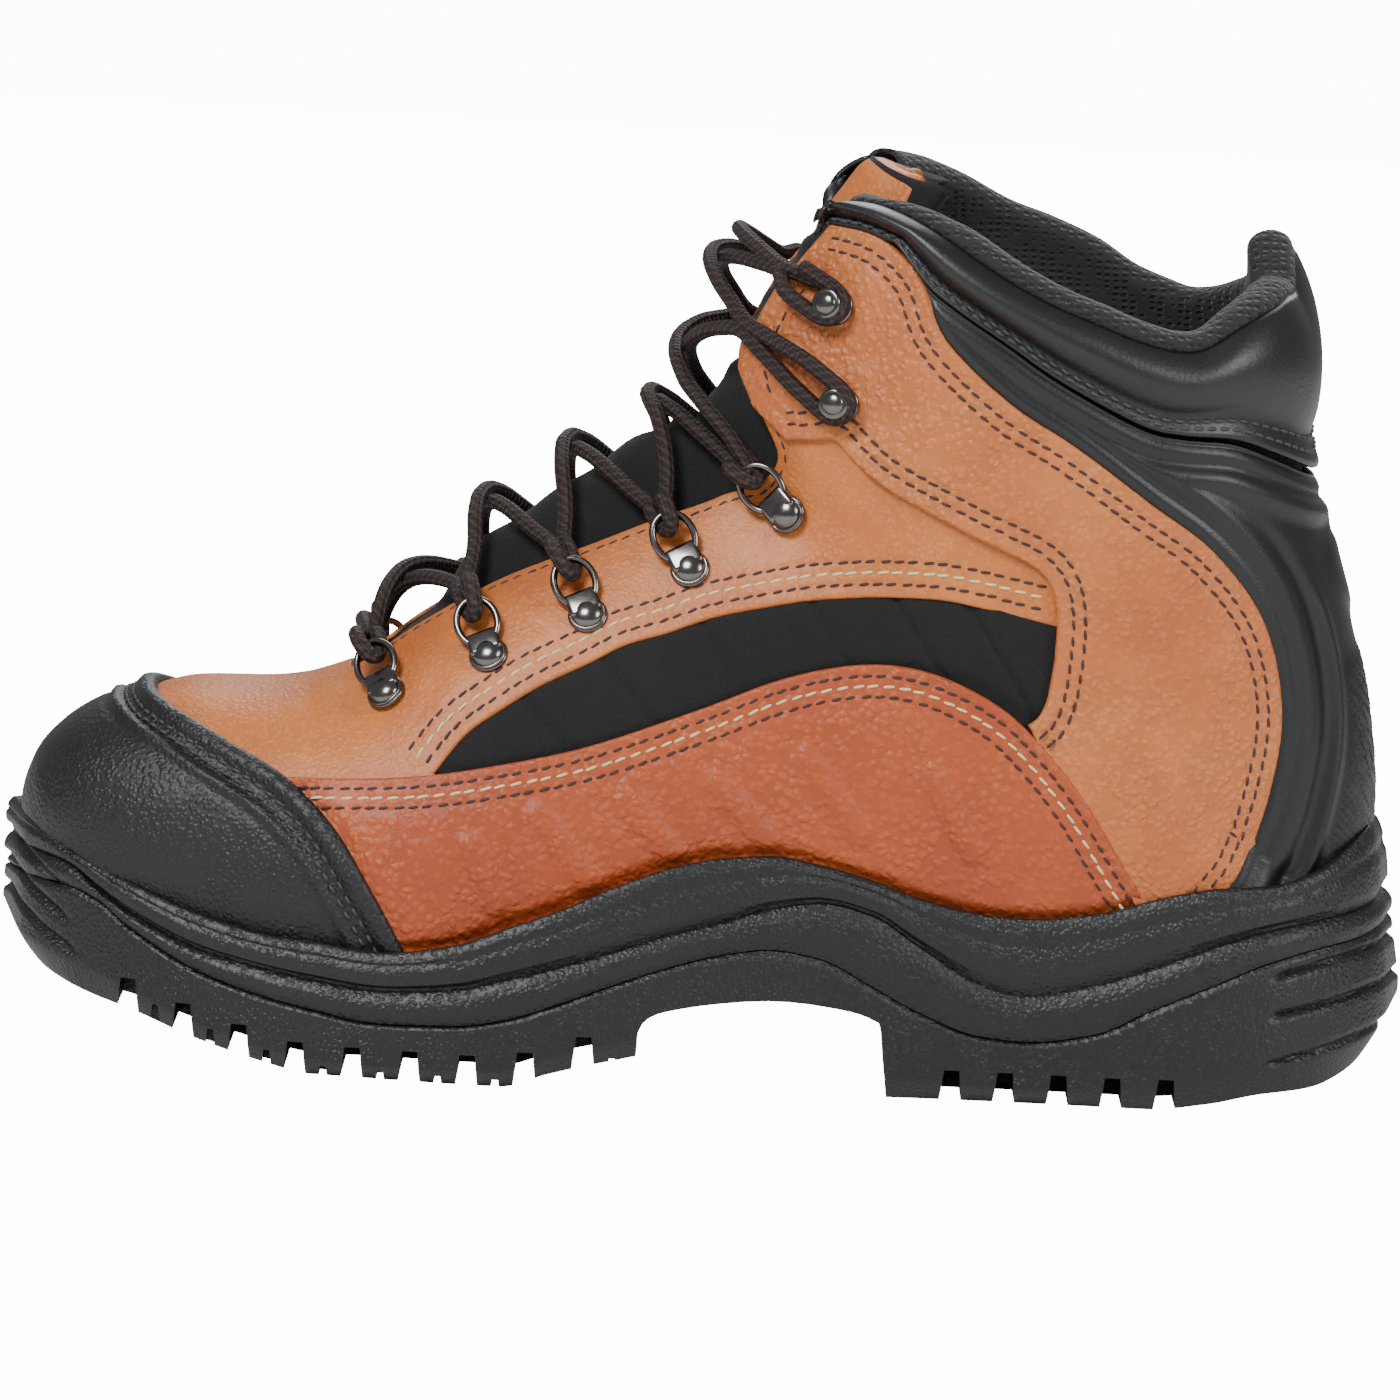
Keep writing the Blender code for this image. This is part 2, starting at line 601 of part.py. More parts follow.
def topline_cutter():
    # Everything above the collar's top edge, which is higher on the medial side
    edge = 0.34 * ball_width
    count = len(collar_top)
    points = []
    for side in (-1, 1):
        for along, lateral, medial in collar_top:
            rise = (lateral + medial) / 2 + side * ball_width / edge * (medial - lateral) / 2
            x, z = side_point(along, rise)
            points.append((x, side * ball_width, z))
        for along in (collar_top[-1][0], collar_top[0][0]):
            x, z = side_point(along, 1.5)
            points.append((x, side * ball_width, z))
    count += 2
    faces = [tuple(range(count)), tuple(range(2 * count - 1, count - 1, -1))]
    for index in range(count):
        after = (index + 1) % count
        faces.append((index, after, after + count, index + count))
    return add_cutter("above_collar", mesh_from("above_collar", points, faces))


def collar_outline(move):
    # The ankle panel's top edge, then the collar's lower seam; move lowers the whole line
    front = [point for point in seam_line(ankle_rear[:7])]
    rear = seam_line(collar_seam)
    line = front + rear[1:]
    line = [(x, z - move) for x, z in line]
    return line + [corner(1.1, 0.6), corner(1.1, 1.6), corner(0.4, 1.6)]


def build_upper(throat):
    piece = form_shell("upper", leather, 0, last_section, -upper_wall, 0)
    boolean(piece, prism("collar_region", collar_outline(0.0)))
    boolean(piece, throat)


def build_toe_cap():
    piece = form_shell("toe_cap", toe_rubber, 0, 8, fit_gap, fit_gap + overlay)
    outline = seam_line(cap_rim) + [corner(0.30, -0.3), corner(-0.1, -0.3), corner(-0.1, 0.36)]
    boolean(piece, prism("toe_cap_region", outline), "INTERSECT")


def build_foxing():
    rim = [(x, z) for x, z in seam_line(cap_rim, move=seam_gap) if z < side_point(0, 0.170)[1]]
    outline = rim + [corner(0.31, -0.3), corner(0.84, -0.3)] + list(reversed(seam_line(foxing_top)))
    outline = [point for point in outline if point[0] >= rim[0][0]]
    for name, side in (("foxing_lateral", -1), ("foxing_medial", 1)):
        piece = form_shell(name, foxing_leather, 5, 15, fit_gap, fit_gap + overlay)
        boolean(piece, prism(name + "_region", outline, side), "INTERSECT")


def build_ankle_panels(throat):
    front = seam_line(ankle_front)
    foxing = [(x + seam_gap, z + seam_gap) for x, z in seam_line(foxing_top) if x > front[-1][0]]
    rear = [(x, z - seam_gap) for x, z in seam_line(ankle_rear)]
    outline = front + foxing + [corner(0.842, -0.3)] + list(reversed(rear))
    for name, side in (("ankle_panel_lateral", -1), ("ankle_panel_medial", 1)):
        piece = form_shell(name, leather, ankle_start - 1, last_section, fit_gap, fit_gap + overlay)
        boolean(piece, prism(name + "_region", outline, side), "INTERSECT")
        boolean(piece, throat)


def build_heel_counter():
    front = [(x + seam_gap, z) for x, z in seam_line(ankle_rear[6:])]
    top = [(x, z - seam_gap) for x, z in seam_line(collar_seam)]
    outline = list(reversed(front)) + top[1:] + [corner(1.1, 0.61), corner(1.1, -0.3), corner(0.85, -0.3)]
    piece = form_shell("heel_counter", toe_rubber, 12, last_section, fit_gap, fit_gap + overlay)
    boolean(piece, prism("heel_counter_region", outline), "INTERSECT")


def build_collar(throat):
    piece = form_shell("collar", collar_leather, 19, last_section, -collar_inside, collar_outside)
    boolean(piece, prism("collar_body", collar_outline(-seam_gap)), "INTERSECT")
    boolean(piece, topline_cutter())
    boolean(piece, throat)


def tuck(section):
    # How deep the tongue's wings lie: under the upper's wall, then under the padded collar
    under_collar = np.clip((section - collar_start) / 1.2, 0, 1)
    return -upper_wall - 4 * fit_gap - under_collar * (collar_inside - upper_wall)


def tongue_lift(section, across):
    # How far the tongue's face stands out from the form, at a share of the throat's half width
    tucked = tuck(section)
    puff = form_at(section, "puff") * ball_width
    if abs(across) >= 1.08:
        return tucked
    return tucked + (puff - tucked) * math.cos(across / 1.08 * math.pi / 2) ** 2


def crown_point(section, across):
    # A point of the form at a signed distance across from the crown line
    low, top = section_frame(section)
    waist = form_at(section, "waist")
    power = form_at(section, "round")
    share = min(0.985, abs(across) / (form_at(section, "wide") * ball_width))
    up = waist + (1 - waist) * (1 - share ** power) ** (1 / power)
    point = low.lerp(top, up)
    point.y += across
    return point


def over_crown(section, across, lift):
    # The same point moved out along the form's normal by lift
    step = 0.02
    reach = 0.0004
    along = crown_point(section + step, across) - crown_point(section - step, across)
    around = crown_point(section, across + reach) - crown_point(section, across - reach)
    normal = around.cross(along).normalized()
    if normal.dot(crown_point(section, 0) - section_frame(section)[0]) < 0:
        normal = -normal
    return crown_point(section, across) + normal * lift


def tongue_ring(section, thin=1.0):
    gap = max(form_at(section, "gap") * ball_width, tongue_wing)
    wing = gap + tongue_wing
    stops = [-wing, -1.1 * gap, -0.55 * gap, 0, 0.55 * gap, 1.1 * gap, wing]
    outer = []
    inner = []
    for stop in stops:
        lift = tongue_lift(section, stop / gap)
        depth = tongue_thickness * thin * (0.45 if abs(stop) == wing else 1.0)
        outer.append(over_crown(section, stop, lift))
        inner.append(over_crown(section, stop, min(lift, tuck(section) + 0.004) - depth))
    return outer + list(reversed(inner))


def build_tongue():
    rows = [6.7] + [mark for mark in sections_between(7, 23) if mark != throat_start]
    rings = [tongue_ring(rows[0], 0.5)]
    rings += [tongue_ring(row) for row in rows[1:]]
    rings.append(tongue_ring(tongue_end, 0.7))
    count = len(rings[0])
    points = [point for ring in rings for point in ring]
    faces = [tuple(range(count)), tuple(range(len(points) - 1, len(points) - 1 - count, -1))]
    for row in range(len(rings) - 1):
        for step in range(count):
            after = (step + 1) % count
            base = row * count
            faces.append((base + step, base + after, base + count + after, base + count + step))
    add_part("tongue", mesh_from("tongue", points, faces), tongue_suede)


def wire(name, points, radius, cyclic=False, sides=2):
    # A round wire through the points, as a closed mesh
    curve = bpy.data.curves.new(name, "CURVE")
    curve.dimensions = "3D"
    curve.bevel_depth = radius
    curve.bevel_resolution = sides
    curve.use_fill_caps = not cyclic
    spline = curve.splines.new("POLY")
    spline.points.add(len(points) - 1)
    for spot, point in zip(spline.points, points):
        spot.co = (*point, 1)
    spline.use_cyclic_u = cyclic
    holder = bpy.data.objects.new(name, curve)
    cutters.objects.link(holder)
    bpy.context.view_layer.update()
    mesh = bpy.data.meshes.new_from_object(holder.evaluated_get(bpy.context.evaluated_depsgraph_get()))
    bpy.data.objects.remove(holder)
    shape = bmesh.new()
    shape.from_mesh(mesh)
    bmesh.ops.remove_doubles(shape, verts=shape.verts, dist=1e-6)
    bmesh.ops.recalc_face_normals(shape, faces=shape.faces)
    shape.to_mesh(mesh)
    shape.free()
    return mesh


def turned(name, profile, steps=8):
    # A disc or dome: its profile runs from the axis at the top down to the axis at the base
    points = []
    faces = []
    for radius, height in profile:
        for step in range(steps):
            angle = step / steps * math.tau
            points.append((radius * math.cos(angle), radius * math.sin(angle), height))
    for row in range(len(profile) - 1):
        for step in range(steps):
            after = (step + 1) % steps
            faces.append((row * steps + step, row * steps + after, (row + 1) * steps + after,
                          (row + 1) * steps + step))
    faces.append(tuple(range(steps)))
    faces.append(tuple(range((len(profile) - 1) * steps, len(profile) * steps)))
    return mesh_from(name, points, faces)


def seat_matrix(section, up, side, lift):
    # A seat on the form: local Z points out of the boot, local X up its section to the throat
    normal = form_normal(section, up, side)
    low, top = section_frame(section)
    toward = form_point(section, up + 0.02, side) - form_point(section, up, side)
    toward = (toward - toward.dot(normal) * normal).normalized()
    across = normal.cross(toward)
    spot = form_point(section, up, side) + normal * lift
    turn = Matrix((toward, across, normal)).transposed().to_4x4()
    return Matrix.Translation(spot) @ turn


def dome_profile(radius, base, rise):
    rings = [(radius, base)]
    for step in range(2):
        angle = (step + 1) / 3 * math.pi / 2
        rings.append((radius * math.cos(angle), base + rise * math.sin(angle)))
    return rings


def ring_outline():
    # The D: a straight bar inside the plate's fold and a half circle toward the throat
    radius = (ring_width - ring_wire) / 2
    height = plate_thickness + 0.55 * ring_wire
    far = plate_length / 2 + ring_reach - ring_wire / 2 - radius
    points = [(plate_length / 2 - ring_wire, -radius, height), (far, -radius, height + 0.0006)]
    for step in range(1, 5):
        angle = -math.pi / 2 + step / 5 * math.pi
        points.append((far + radius * math.cos(angle), radius * math.sin(angle), height + 0.0010))
    points += [(far, radius, height + 0.0006), (plate_length / 2 - ring_wire, radius, height)]
    return points


def join_union(name, meshes, material):
    # One solid from several overlapping ones
    base = add_part(name, meshes[0], material)
    for index, mesh in enumerate(meshes[1:]):
        boolean(base, add_cutter(f"{name}_join_{index}", mesh), "UNION")
    return base


def baked(piece):
    # The piece's mesh with its modifiers applied, for copies of it
    bpy.context.view_layer.update()
    mesh = bpy.data.meshes.new_from_object(piece.evaluated_get(bpy.context.evaluated_depsgraph_get()))
    material = piece.data.materials[0]
    bpy.data.objects.remove(piece)
    mesh.materials.clear()
    mesh.materials.append(material)
    return mesh


def build_rings():
    plate = bmesh.new()
    size = Matrix.Diagonal((plate_length, plate_width, plate_thickness, 1))
    bmesh.ops.create_cube(plate, size=1.0, matrix=Matrix.Translation((0, 0, plate_thickness / 2)) @ size)
    plate_mesh = bpy.data.meshes.new("ring_plate")
    plate.to_mesh(plate_mesh)
    plate.free()
    dome = turned("ring_rivet", dome_profile(rivet_diameter / 2, 0.6 * plate_thickness, rivet_rise), 8)
    for vert in dome.vertices:
        vert.co.x -= plate_length / 2 - rivet_diameter / 2 - fit_gap
    loop = wire("ring_loop", ring_outline(), ring_wire / 2, cyclic=True, sides=1)
    mesh = baked(join_union("ring_pattern", [plate_mesh, dome, loop], gunmetal))
    for side, word in ((-1, "lateral"), (1, "medial")):
        for index, (section, up, height) in enumerate(ring_seats):
            piece = bpy.data.objects.new(f"d_ring_{word}_{index + 1}", mesh)
            piece.matrix_world = seat_matrix(section, up, side, height * fit_gap)
            parts.objects.link(piece)


def build_hooks():
    foot = hook_base / 2
    rim = foot - 0.7 * hook_flange
    base = turned("hook_base", [(foot, 0), (foot, 0.6 * hook_flange), (rim, hook_flange)])
    stem = turned("hook_stem", [(hook_stem / 2, hook_flange / 2), (hook_stem / 2, hook_rise)])
    edge = hook_head / 2
    profile = [(0.82 * edge, hook_rise - 0.2 * hook_cap), (edge, hook_rise),
               (0.76 * edge, hook_rise + 0.7 * hook_cap), (0.3 * edge, hook_rise + hook_cap)]
    head = turned("hook_head", profile)
    mesh = baked(join_union("hook_pattern", [base, stem, head], gunmetal))
    for side, word in ((-1, "lateral"), (1, "medial")):
        for index, (section, up, height) in enumerate(hook_seats):
            piece = bpy.data.objects.new(f"lace_hook_{word}_{index + 1}", mesh)
            piece.matrix_world = seat_matrix(section, up, side, overlay + height * fit_gap)
            parts.objects.link(piece)


def lace_point(section, across, clear):
    # A point over the tongue or eyestay, across being a share of the throat's half width
    gap = form_at(section, "gap") * ball_width
    leather_face = fit_gap + (overlay + fit_gap if section > ankle_start else 0)
    leather_face -= lace_dip * max(0, 0.8 - abs(across)) * gap
    return over_crown(section, across * gap, max(tongue_lift(section, across), leather_face) + clear)


def lace_strand(name, start, end, side, over=0.0):
    # From one side at a section to the other side at the next, over the tongue; over lifts its middle
    points = []
    for step in range(7):
        f = step / 6
        across = side * (1 - 2 * f)
        section = start + (end - start) * f
        clear = lace_diameter / 2 + 2 * fit_gap + (lace_bow + over) * (1 - abs(across))
        points.append(lace_point(section, across, clear))
    return wire(name, points, lace_diameter / 2, sides=1)


def build_lace():
    rows = [seat[0] for seat in ring_seats] + [seat[0] for seat in hook_seats]
    bar = lace_strand("lace_bar_1", rows[0], rows[0], -1)
    add_part("lace_bar_1", bar, lace_cord)
    for index in range(len(rows) - 1):
        step = rows[index + 1] - rows[index]
        start = rows[index] + 0.26 * step
        end = rows[index + 1] - 0.26 * step
        first = lace_strand(f"strand_a_{index}", start, end, -1)
        second = lace_strand(f"strand_b_{index}", start, end, 1, lace_diameter / 3)
        join_union(f"lace_cross_{index + 1}", [first, second], lace_cord)
    top = lace_strand("lace_bar_top", rows[-1] + 0.35, rows[-1] + 0.35, -1)
    add_part("lace_bar_top", top, lace_cord)


def build_boot():
    throat = throat_cutter()
    build_outsole()
    build_midsole()
    build_insole()
    build_upper(throat)
    build_toe_cap()
    build_foxing()
    build_ankle_panels(throat)
    build_heel_counter()
    build_collar(throat)
    build_tongue()
    build_rings()
    build_hooks()
    build_lace()


build_boot()
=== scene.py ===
import math

import bmesh
import bpy
import numpy as np
from mathutils import Matrix, Vector
from mathutils.geometry import delaunay_2d_cdt


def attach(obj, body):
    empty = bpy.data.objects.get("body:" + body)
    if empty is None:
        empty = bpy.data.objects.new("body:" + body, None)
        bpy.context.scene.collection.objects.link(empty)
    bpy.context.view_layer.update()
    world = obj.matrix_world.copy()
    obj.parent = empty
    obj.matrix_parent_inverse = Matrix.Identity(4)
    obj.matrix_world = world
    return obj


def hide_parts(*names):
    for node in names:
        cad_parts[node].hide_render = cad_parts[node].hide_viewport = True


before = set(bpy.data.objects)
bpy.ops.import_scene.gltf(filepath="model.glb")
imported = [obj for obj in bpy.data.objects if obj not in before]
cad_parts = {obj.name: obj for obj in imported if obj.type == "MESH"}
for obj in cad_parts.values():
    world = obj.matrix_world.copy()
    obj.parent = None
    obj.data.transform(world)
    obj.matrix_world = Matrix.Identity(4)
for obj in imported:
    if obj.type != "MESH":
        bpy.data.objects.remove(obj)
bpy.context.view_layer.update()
mm = 0.001

# The boot's driving sizes, the same as the solids': metres, toe to -X, outer side to -Y
boot = {"length": 0.3132, "ballWidth": 0.112, "heelHeight": 0.035, "shaftRise": 0.165, "middleShift": 0.0012,
        "collarIn": 0.0085, "tongueThick": 0.0095, "tongueWing": 0.008, "wall": 0.002, "gap": 0.0003}

# The last's sections, toe to collar, as shares of the driving sizes
formColumns = ("alongLow", "foot", "riseLow", "alongTop", "riseTop", "wide", "soleWide",
               "shift", "waist", "round", "gap", "puff")
formRows = (
    (0.023, 1.14, 0.000, 0.023, 0.030, 0.000, 0.000, 0.054, 0.40, 2.4, 0.000, -0.027),
    (0.032, 1.07, 0.000, 0.020, 0.100, 0.134, 0.116, 0.054, 0.40, 2.4, 0.000, -0.027),
    (0.050, 1.03, 0.000, 0.027, 0.155, 0.223, 0.205, 0.049, 0.38, 2.5, 0.000, -0.027),
    (0.075, 0.94, 0.000, 0.047, 0.202, 0.290, 0.268, 0.045, 0.36, 2.5, 0.000, -0.027),
    (0.110, 0.84, 0.000, 0.082, 0.242, 0.344, 0.321, 0.037, 0.34, 2.4, 0.000, -0.027),
    (0.162, 0.74, 0.000, 0.136, 0.278, 0.388, 0.366, 0.027, 0.32, 2.3, 0.000, -0.027),
    (0.225, 0.64, 0.000, 0.190, 0.284, 0.420, 0.397, 0.013, 0.32, 2.2, 0.000, -0.027),
    (0.302, 0.60, 0.000, 0.238, 0.309, 0.442, 0.415, 0.000, 0.32, 2.1, 0.080, -0.027),
    (0.379, 0.69, 0.000, 0.289, 0.391, 0.433, 0.402, -0.009, 0.33, 2.0, 0.125, -0.018),
    (0.462, 0.89, 0.000, 0.344, 0.467, 0.402, 0.366, -0.013, 0.34, 2.0, 0.143, 0.045),
    (0.545, 1.03, 0.000, 0.395, 0.521, 0.371, 0.321, -0.013, 0.36, 2.0, 0.152, 0.062),
    (0.634, 1.04, 0.000, 0.443, 0.576, 0.353, 0.299, -0.009, 0.38, 2.0, 0.161, 0.080),
    (0.730, 1.00, 0.000, 0.478, 0.615, 0.348, 0.295, -0.004, 0.42, 2.0, 0.170, 0.080),
    (0.826, 1.00, 0.000, 0.495, 0.655, 0.348, 0.295, 0.000, 0.45, 2.0, 0.196, 0.054),
    (0.902, 1.04, 0.000, 0.492, 0.703, 0.344, 0.259, 0.000, 0.50, 2.0, 0.214, 0.009),
    (0.941, 1.07, 0.000, 0.489, 0.745, 0.339, 0.179, 0.000, 0.55, 2.0, 0.179, -0.045),
    (0.961, 1.14, 0.000, 0.490, 0.776, 0.335, 0.054, 0.000, 0.57, 2.0, 0.143, -0.062),
    (0.965, 1.00, 0.103, 0.494, 0.806, 0.335, 0.000, 0.000, 0.58, 2.0, 0.143, -0.062),
    (0.965, 1.00, 0.200, 0.500, 0.836, 0.335, 0.000, 0.000, 0.58, 2.0, 0.152, -0.062),
    (0.958, 1.00, 0.315, 0.510, 0.870, 0.335, 0.000, 0.000, 0.57, 2.0, 0.152, -0.062),
    (0.945, 1.00, 0.418, 0.522, 0.903, 0.339, 0.000, 0.000, 0.56, 2.0, 0.161, -0.054),
    (0.924, 1.00, 0.545, 0.537, 0.939, 0.344, 0.000, 0.000, 0.55, 2.0, 0.170, -0.054),
    (0.907, 1.00, 0.685, 0.556, 0.982, 0.348, 0.000, 0.000, 0.54, 2.0, 0.179, -0.045),
    (0.896, 1.00, 0.824, 0.578, 1.036, 0.353, 0.000, 0.000, 0.54, 2.0, 0.188, -0.040),
    (0.886, 1.00, 0.952, 0.605, 1.097, 0.353, 0.000, 0.000, 0.54, 2.0, 0.196, -0.036),
)
lastSection = len(formRows) - 1
formKeys = np.arange(len(formRows), dtype=float)
formTable = np.array(formRows)
lowRound = 2.4
turnSplit = 0.4    # share of a half section's turn that lies below its widest point

# The sole's stations, toe to heel: shares of length, ball width and heel height
soleColumns = ("along", "half", "shift", "tread", "inside", "parting", "step", "rim")
soleRows = (
    (0.000, 0.000, 0.054, 0.743, 0.857, 1.043, 1.257, 1.471),
    (0.020, 0.196, 0.054, 0.520, 0.686, 1.043, 1.229, 1.429),
    (0.050, 0.295, 0.049, 0.414, 0.629, 1.029, 1.186, 1.280),
    (0.075, 0.341, 0.046, 0.351, 0.557, 0.960, 1.051, 1.183),
    (0.100, 0.384, 0.040, 0.303, 0.500, 0.814, 0.923, 1.100),
    (0.150, 0.433, 0.027, 0.160, 0.386, 0.589, 0.737, 0.951),
    (0.200, 0.464, 0.013, 0.049, 0.314, 0.463, 0.646, 0.860),
    (0.232, 0.479, 0.006, 0.000, 0.286, 0.411, 0.606, 0.840),
    (0.277, 0.493, 0.000, 0.000, 0.271, 0.354, 0.566, 0.806),
    (0.331, 0.500, -0.013, 0.000, 0.271, 0.371, 0.606, 0.886),
    (0.366, 0.494, -0.020, 0.000, 0.286, 0.423, 0.686, 1.009),
    (0.400, 0.482, -0.027, 0.094, 0.329, 0.526, 0.771, 1.129),
    (0.440, 0.460, -0.029, 0.180, 0.429, 0.663, 0.886, 1.291),
    (0.480, 0.433, -0.031, 0.243, 0.629, 0.789, 1.006, 1.426),
    (0.516, 0.406, -0.034, 0.229, 0.729, 0.874, 1.094, 1.491),
    (0.550, 0.384, -0.036, 0.143, 0.757, 0.914, 1.183, 1.511),
    (0.583, 0.372, -0.029, 0.043, 0.729, 0.869, 1.229, 1.460),
    (0.620, 0.366, -0.022, 0.000, 0.571, 0.714, 1.160, 1.374),
    (0.653, 0.359, -0.016, 0.000, 0.414, 0.560, 0.980, 1.274),
    (0.700, 0.357, -0.009, 0.000, 0.314, 0.414, 0.749, 1.189),
    (0.730, 0.358, -0.005, 0.000, 0.300, 0.394, 0.694, 1.177),
    (0.780, 0.362, 0.000, 0.000, 0.329, 0.463, 0.786, 1.234),
    (0.819, 0.362, 0.000, 0.000, 0.371, 0.634, 0.909, 1.343),
    (0.860, 0.357, 0.000, 0.046, 0.414, 0.800, 1.057, 1.423),
    (0.899, 0.336, 0.000, 0.120, 0.457, 0.954, 1.171, 1.451),
    (0.937, 0.286, 0.000, 0.160, 0.500, 1.051, 1.240, 1.557),
    (0.968, 0.214, 0.000, 0.257, 0.571, 1.103, 1.286, 1.714),
    (0.987, 0.138, 0.000, 0.371, 0.629, 1.157, 1.329, 1.800),
    (1.000, 0.000, 0.000, 0.514, 0.714, 1.200, 1.371, 1.829),
)
soleTable = np.array(soleRows)

# Seams seen from the side, in millimetres (x, z)
capRim = ((-124, 94.4), (-123.4, 78.2), (-119.6, 75.9), (-106.8, 70.3), (-91.8, 63.4),
          (-80.8, 54.1), (-72.3, 41.8), (-64.8, 29.1), (-60.8, 19.3))
foxingTop = ((-93.3, 63.7), (-78.0, 64.4), (-63.9, 66.0), (-50.1, 68.7), (-27.6, 74.3),
             (-3.8, 83.2), (15.7, 91.3), (32.9, 95.2), (47.6, 94.2), (61.7, 88.3),
             (71.7, 80.4), (82.4, 68.2), (92.1, 53.6), (97.4, 45.4), (104.9, 31.7))
ankleFront = ((-9.4, 140.6), (17.5, 142.7), (23.8, 143.6), (27.9, 139.9), (35.7, 133.8),
              (55.8, 124.1), (69.8, 117.7), (74.2, 108.6), (73.6, 92.8), (71.7, 86.2), (69.2, 84.0))
ankleRear = ((-9.4, 190.4), (15.3, 189.8), (24.1, 189.9), (31.0, 188.6), (36.0, 185.6),
             (40.1, 181.7), (42.9, 177.1), (47.6, 166.8), (62.0, 154.0), (77.0, 145.1),
             (93.3, 133.8), (107.7, 123.6), (119.6, 108.3), (124.7, 88.5), (122.8, 69.7),
             (117.5, 53.3), (112.1, 44.9), (108.1, 30.1))
collarSeam = ((36.0, 187.5), (42.9, 179.0), (49.5, 174.1), (60.8, 167.2), (72.0, 160.1), (89.9, 151.2),
              (99.0, 149.2), (110.2, 148.4), (119.3, 145.1), (129.7, 140.3), (140.0, 137.5))
collarTopSides = {
    -1: ((-6.3, 190.9), (16.3, 192.6), (26.9, 194.9), (35.1, 194.2), (45.1, 190.1), (57.6, 182.5),
         (68.9, 176.7), (79.9, 172.6), (88.9, 169.3), (97.1, 167.5), (103.0, 168.3), (109.9, 172.8),
         (117.1, 177.1), (124.0, 180.0), (150.0, 181.0)),
    1: ((-6.3, 198.4), (16.3, 200.0), (26.9, 202.5), (35.1, 202.0), (45.1, 198.0), (57.6, 191.4),
        (68.9, 187.5), (79.9, 183.0), (88.9, 177.7), (97.1, 174.8), (103.0, 173.3), (109.9, 174.3),
        (117.1, 177.2), (124.0, 180.0), (150.0, 181.0)),
}
windowTop = ((-59.8, 67.4), (-53.5, 75.9), (-45.5, 82.0), (-37.5, 87.3), (-27.7, 92.3), (-19.7, 96.7),
             (-10.4, 99.8), (-0.8, 103.5), (10.1, 106.2), (20.0, 108.3), (28.3, 109.3), (36.8, 110.0),
             (48.8, 110.1), (58.7, 108.7), (68.4, 106.8), (76.0, 105.2), (90.0, 102.0))


def smoothRead(keys, values, at):
    rates = np.diff(values) / np.diff(keys)
    product = rates[:-1] * rates[1:]
    total = rates[:-1] + rates[1:]
    inner = np.where(product > 0, 2 * product / np.where(total == 0, 1, total), 0.0)
    slope = np.concatenate([[rates[0]], inner, [rates[-1]]])
    cell = np.clip(np.searchsorted(keys, at, side="right") - 1, 0, len(keys) - 2)
    span = keys[cell + 1] - keys[cell]
    f = (at - keys[cell]) / span
    return ((1 + 2 * f) * (1 - f) ** 2 * values[cell] + f * (1 - f) ** 2 * span * slope[cell]
            + f * f * (3 - 2 * f) * values[cell + 1] + f * f * (f - 1) * span * slope[cell + 1])


def readForm(name, section):
    return smoothRead(formKeys, formTable[:, formColumns.index(name)], np.clip(section, 0, lastSection))


def readSole(name, along):
    return smoothRead(soleTable[:, 0], soleTable[:, soleColumns.index(name)], along)


def sectionLine(section):
    # Low and high ends of a section in side view
    lowX = (readForm("alongLow", section) - 0.5) * boot["length"]
    lowZ = readForm("foot", section) * boot["heelHeight"] + readForm("riseLow", section) * boot["shaftRise"]
    topX = (readForm("alongTop", section) - 0.5) * boot["length"]
    topZ = boot["heelHeight"] + readForm("riseTop", section) * boot["shaftRise"]
    return lowX, lowZ, topX, topZ


def sectionShape(section):
    wide = np.maximum(readForm("wide", section), 1e-5)
    base = np.minimum(0.995, readForm("soleWide", section) / wide)
    reach = (1 - base ** lowRound) ** (1 / lowRound)
    return wide * boot["ballWidth"], readForm("waist", section), readForm("round", section), reach


def formPlace(section, turn, side):
    # A point of the last: turn 0 at the feather line or the heel's back, 1 on the crown
    section = np.asarray(section, float)
    turn = np.clip(np.asarray(turn, float), 0, 1)
    lowX, lowZ, topX, topZ = sectionLine(section)
    wide, waist, power, reach = sectionShape(section)
    high = np.clip((turn - turnSplit) / (1 - turnSplit), 0, 1) * math.pi / 2
    under = np.clip((turnSplit - turn) / turnSplit, 0, 1) * np.arcsin(reach ** (lowRound / 2))
    share = np.where(turn >= turnSplit, waist + (1 - waist) * np.sin(high) ** (2 / power),
                     waist * (1 - np.sin(under) ** (2 / lowRound) / reach))
    cosHigh = np.maximum(np.cos(high), 0)
    half = wide * np.where(turn >= turnSplit, cosHigh ** (2 / power), np.cos(under) ** (2 / lowRound))
    shift = readForm("shift", section) * boot["ballWidth"] + boot["middleShift"]
    return np.stack([lowX + (topX - lowX) * share, shift + side * half, lowZ + (topZ - lowZ) * share],
                    axis=-1)


def formSlopes(section, turn, side):
    ds, dt = 0.02, 0.004
    section = np.clip(section, ds, lastSection - ds)
    turn = np.clip(turn, 0, 1)
    s0 = np.clip(section - ds, 0, lastSection)
    s1 = np.clip(section + ds, 0, lastSection)
    t0 = np.clip(turn - dt, 0, 1)
    t1 = np.clip(turn + dt, 0, 1)
    alongWay = (formPlace(s1, turn, side) - formPlace(s0, turn, side)) / (s1 - s0)[..., None]
    aroundWay = (formPlace(section, t1, side) - formPlace(section, t0, side)) / (t1 - t0)[..., None]
    return alongWay, aroundWay


def unit(way):
    return way / np.maximum(np.linalg.norm(way, axis=-1, keepdims=True), 1e-12)


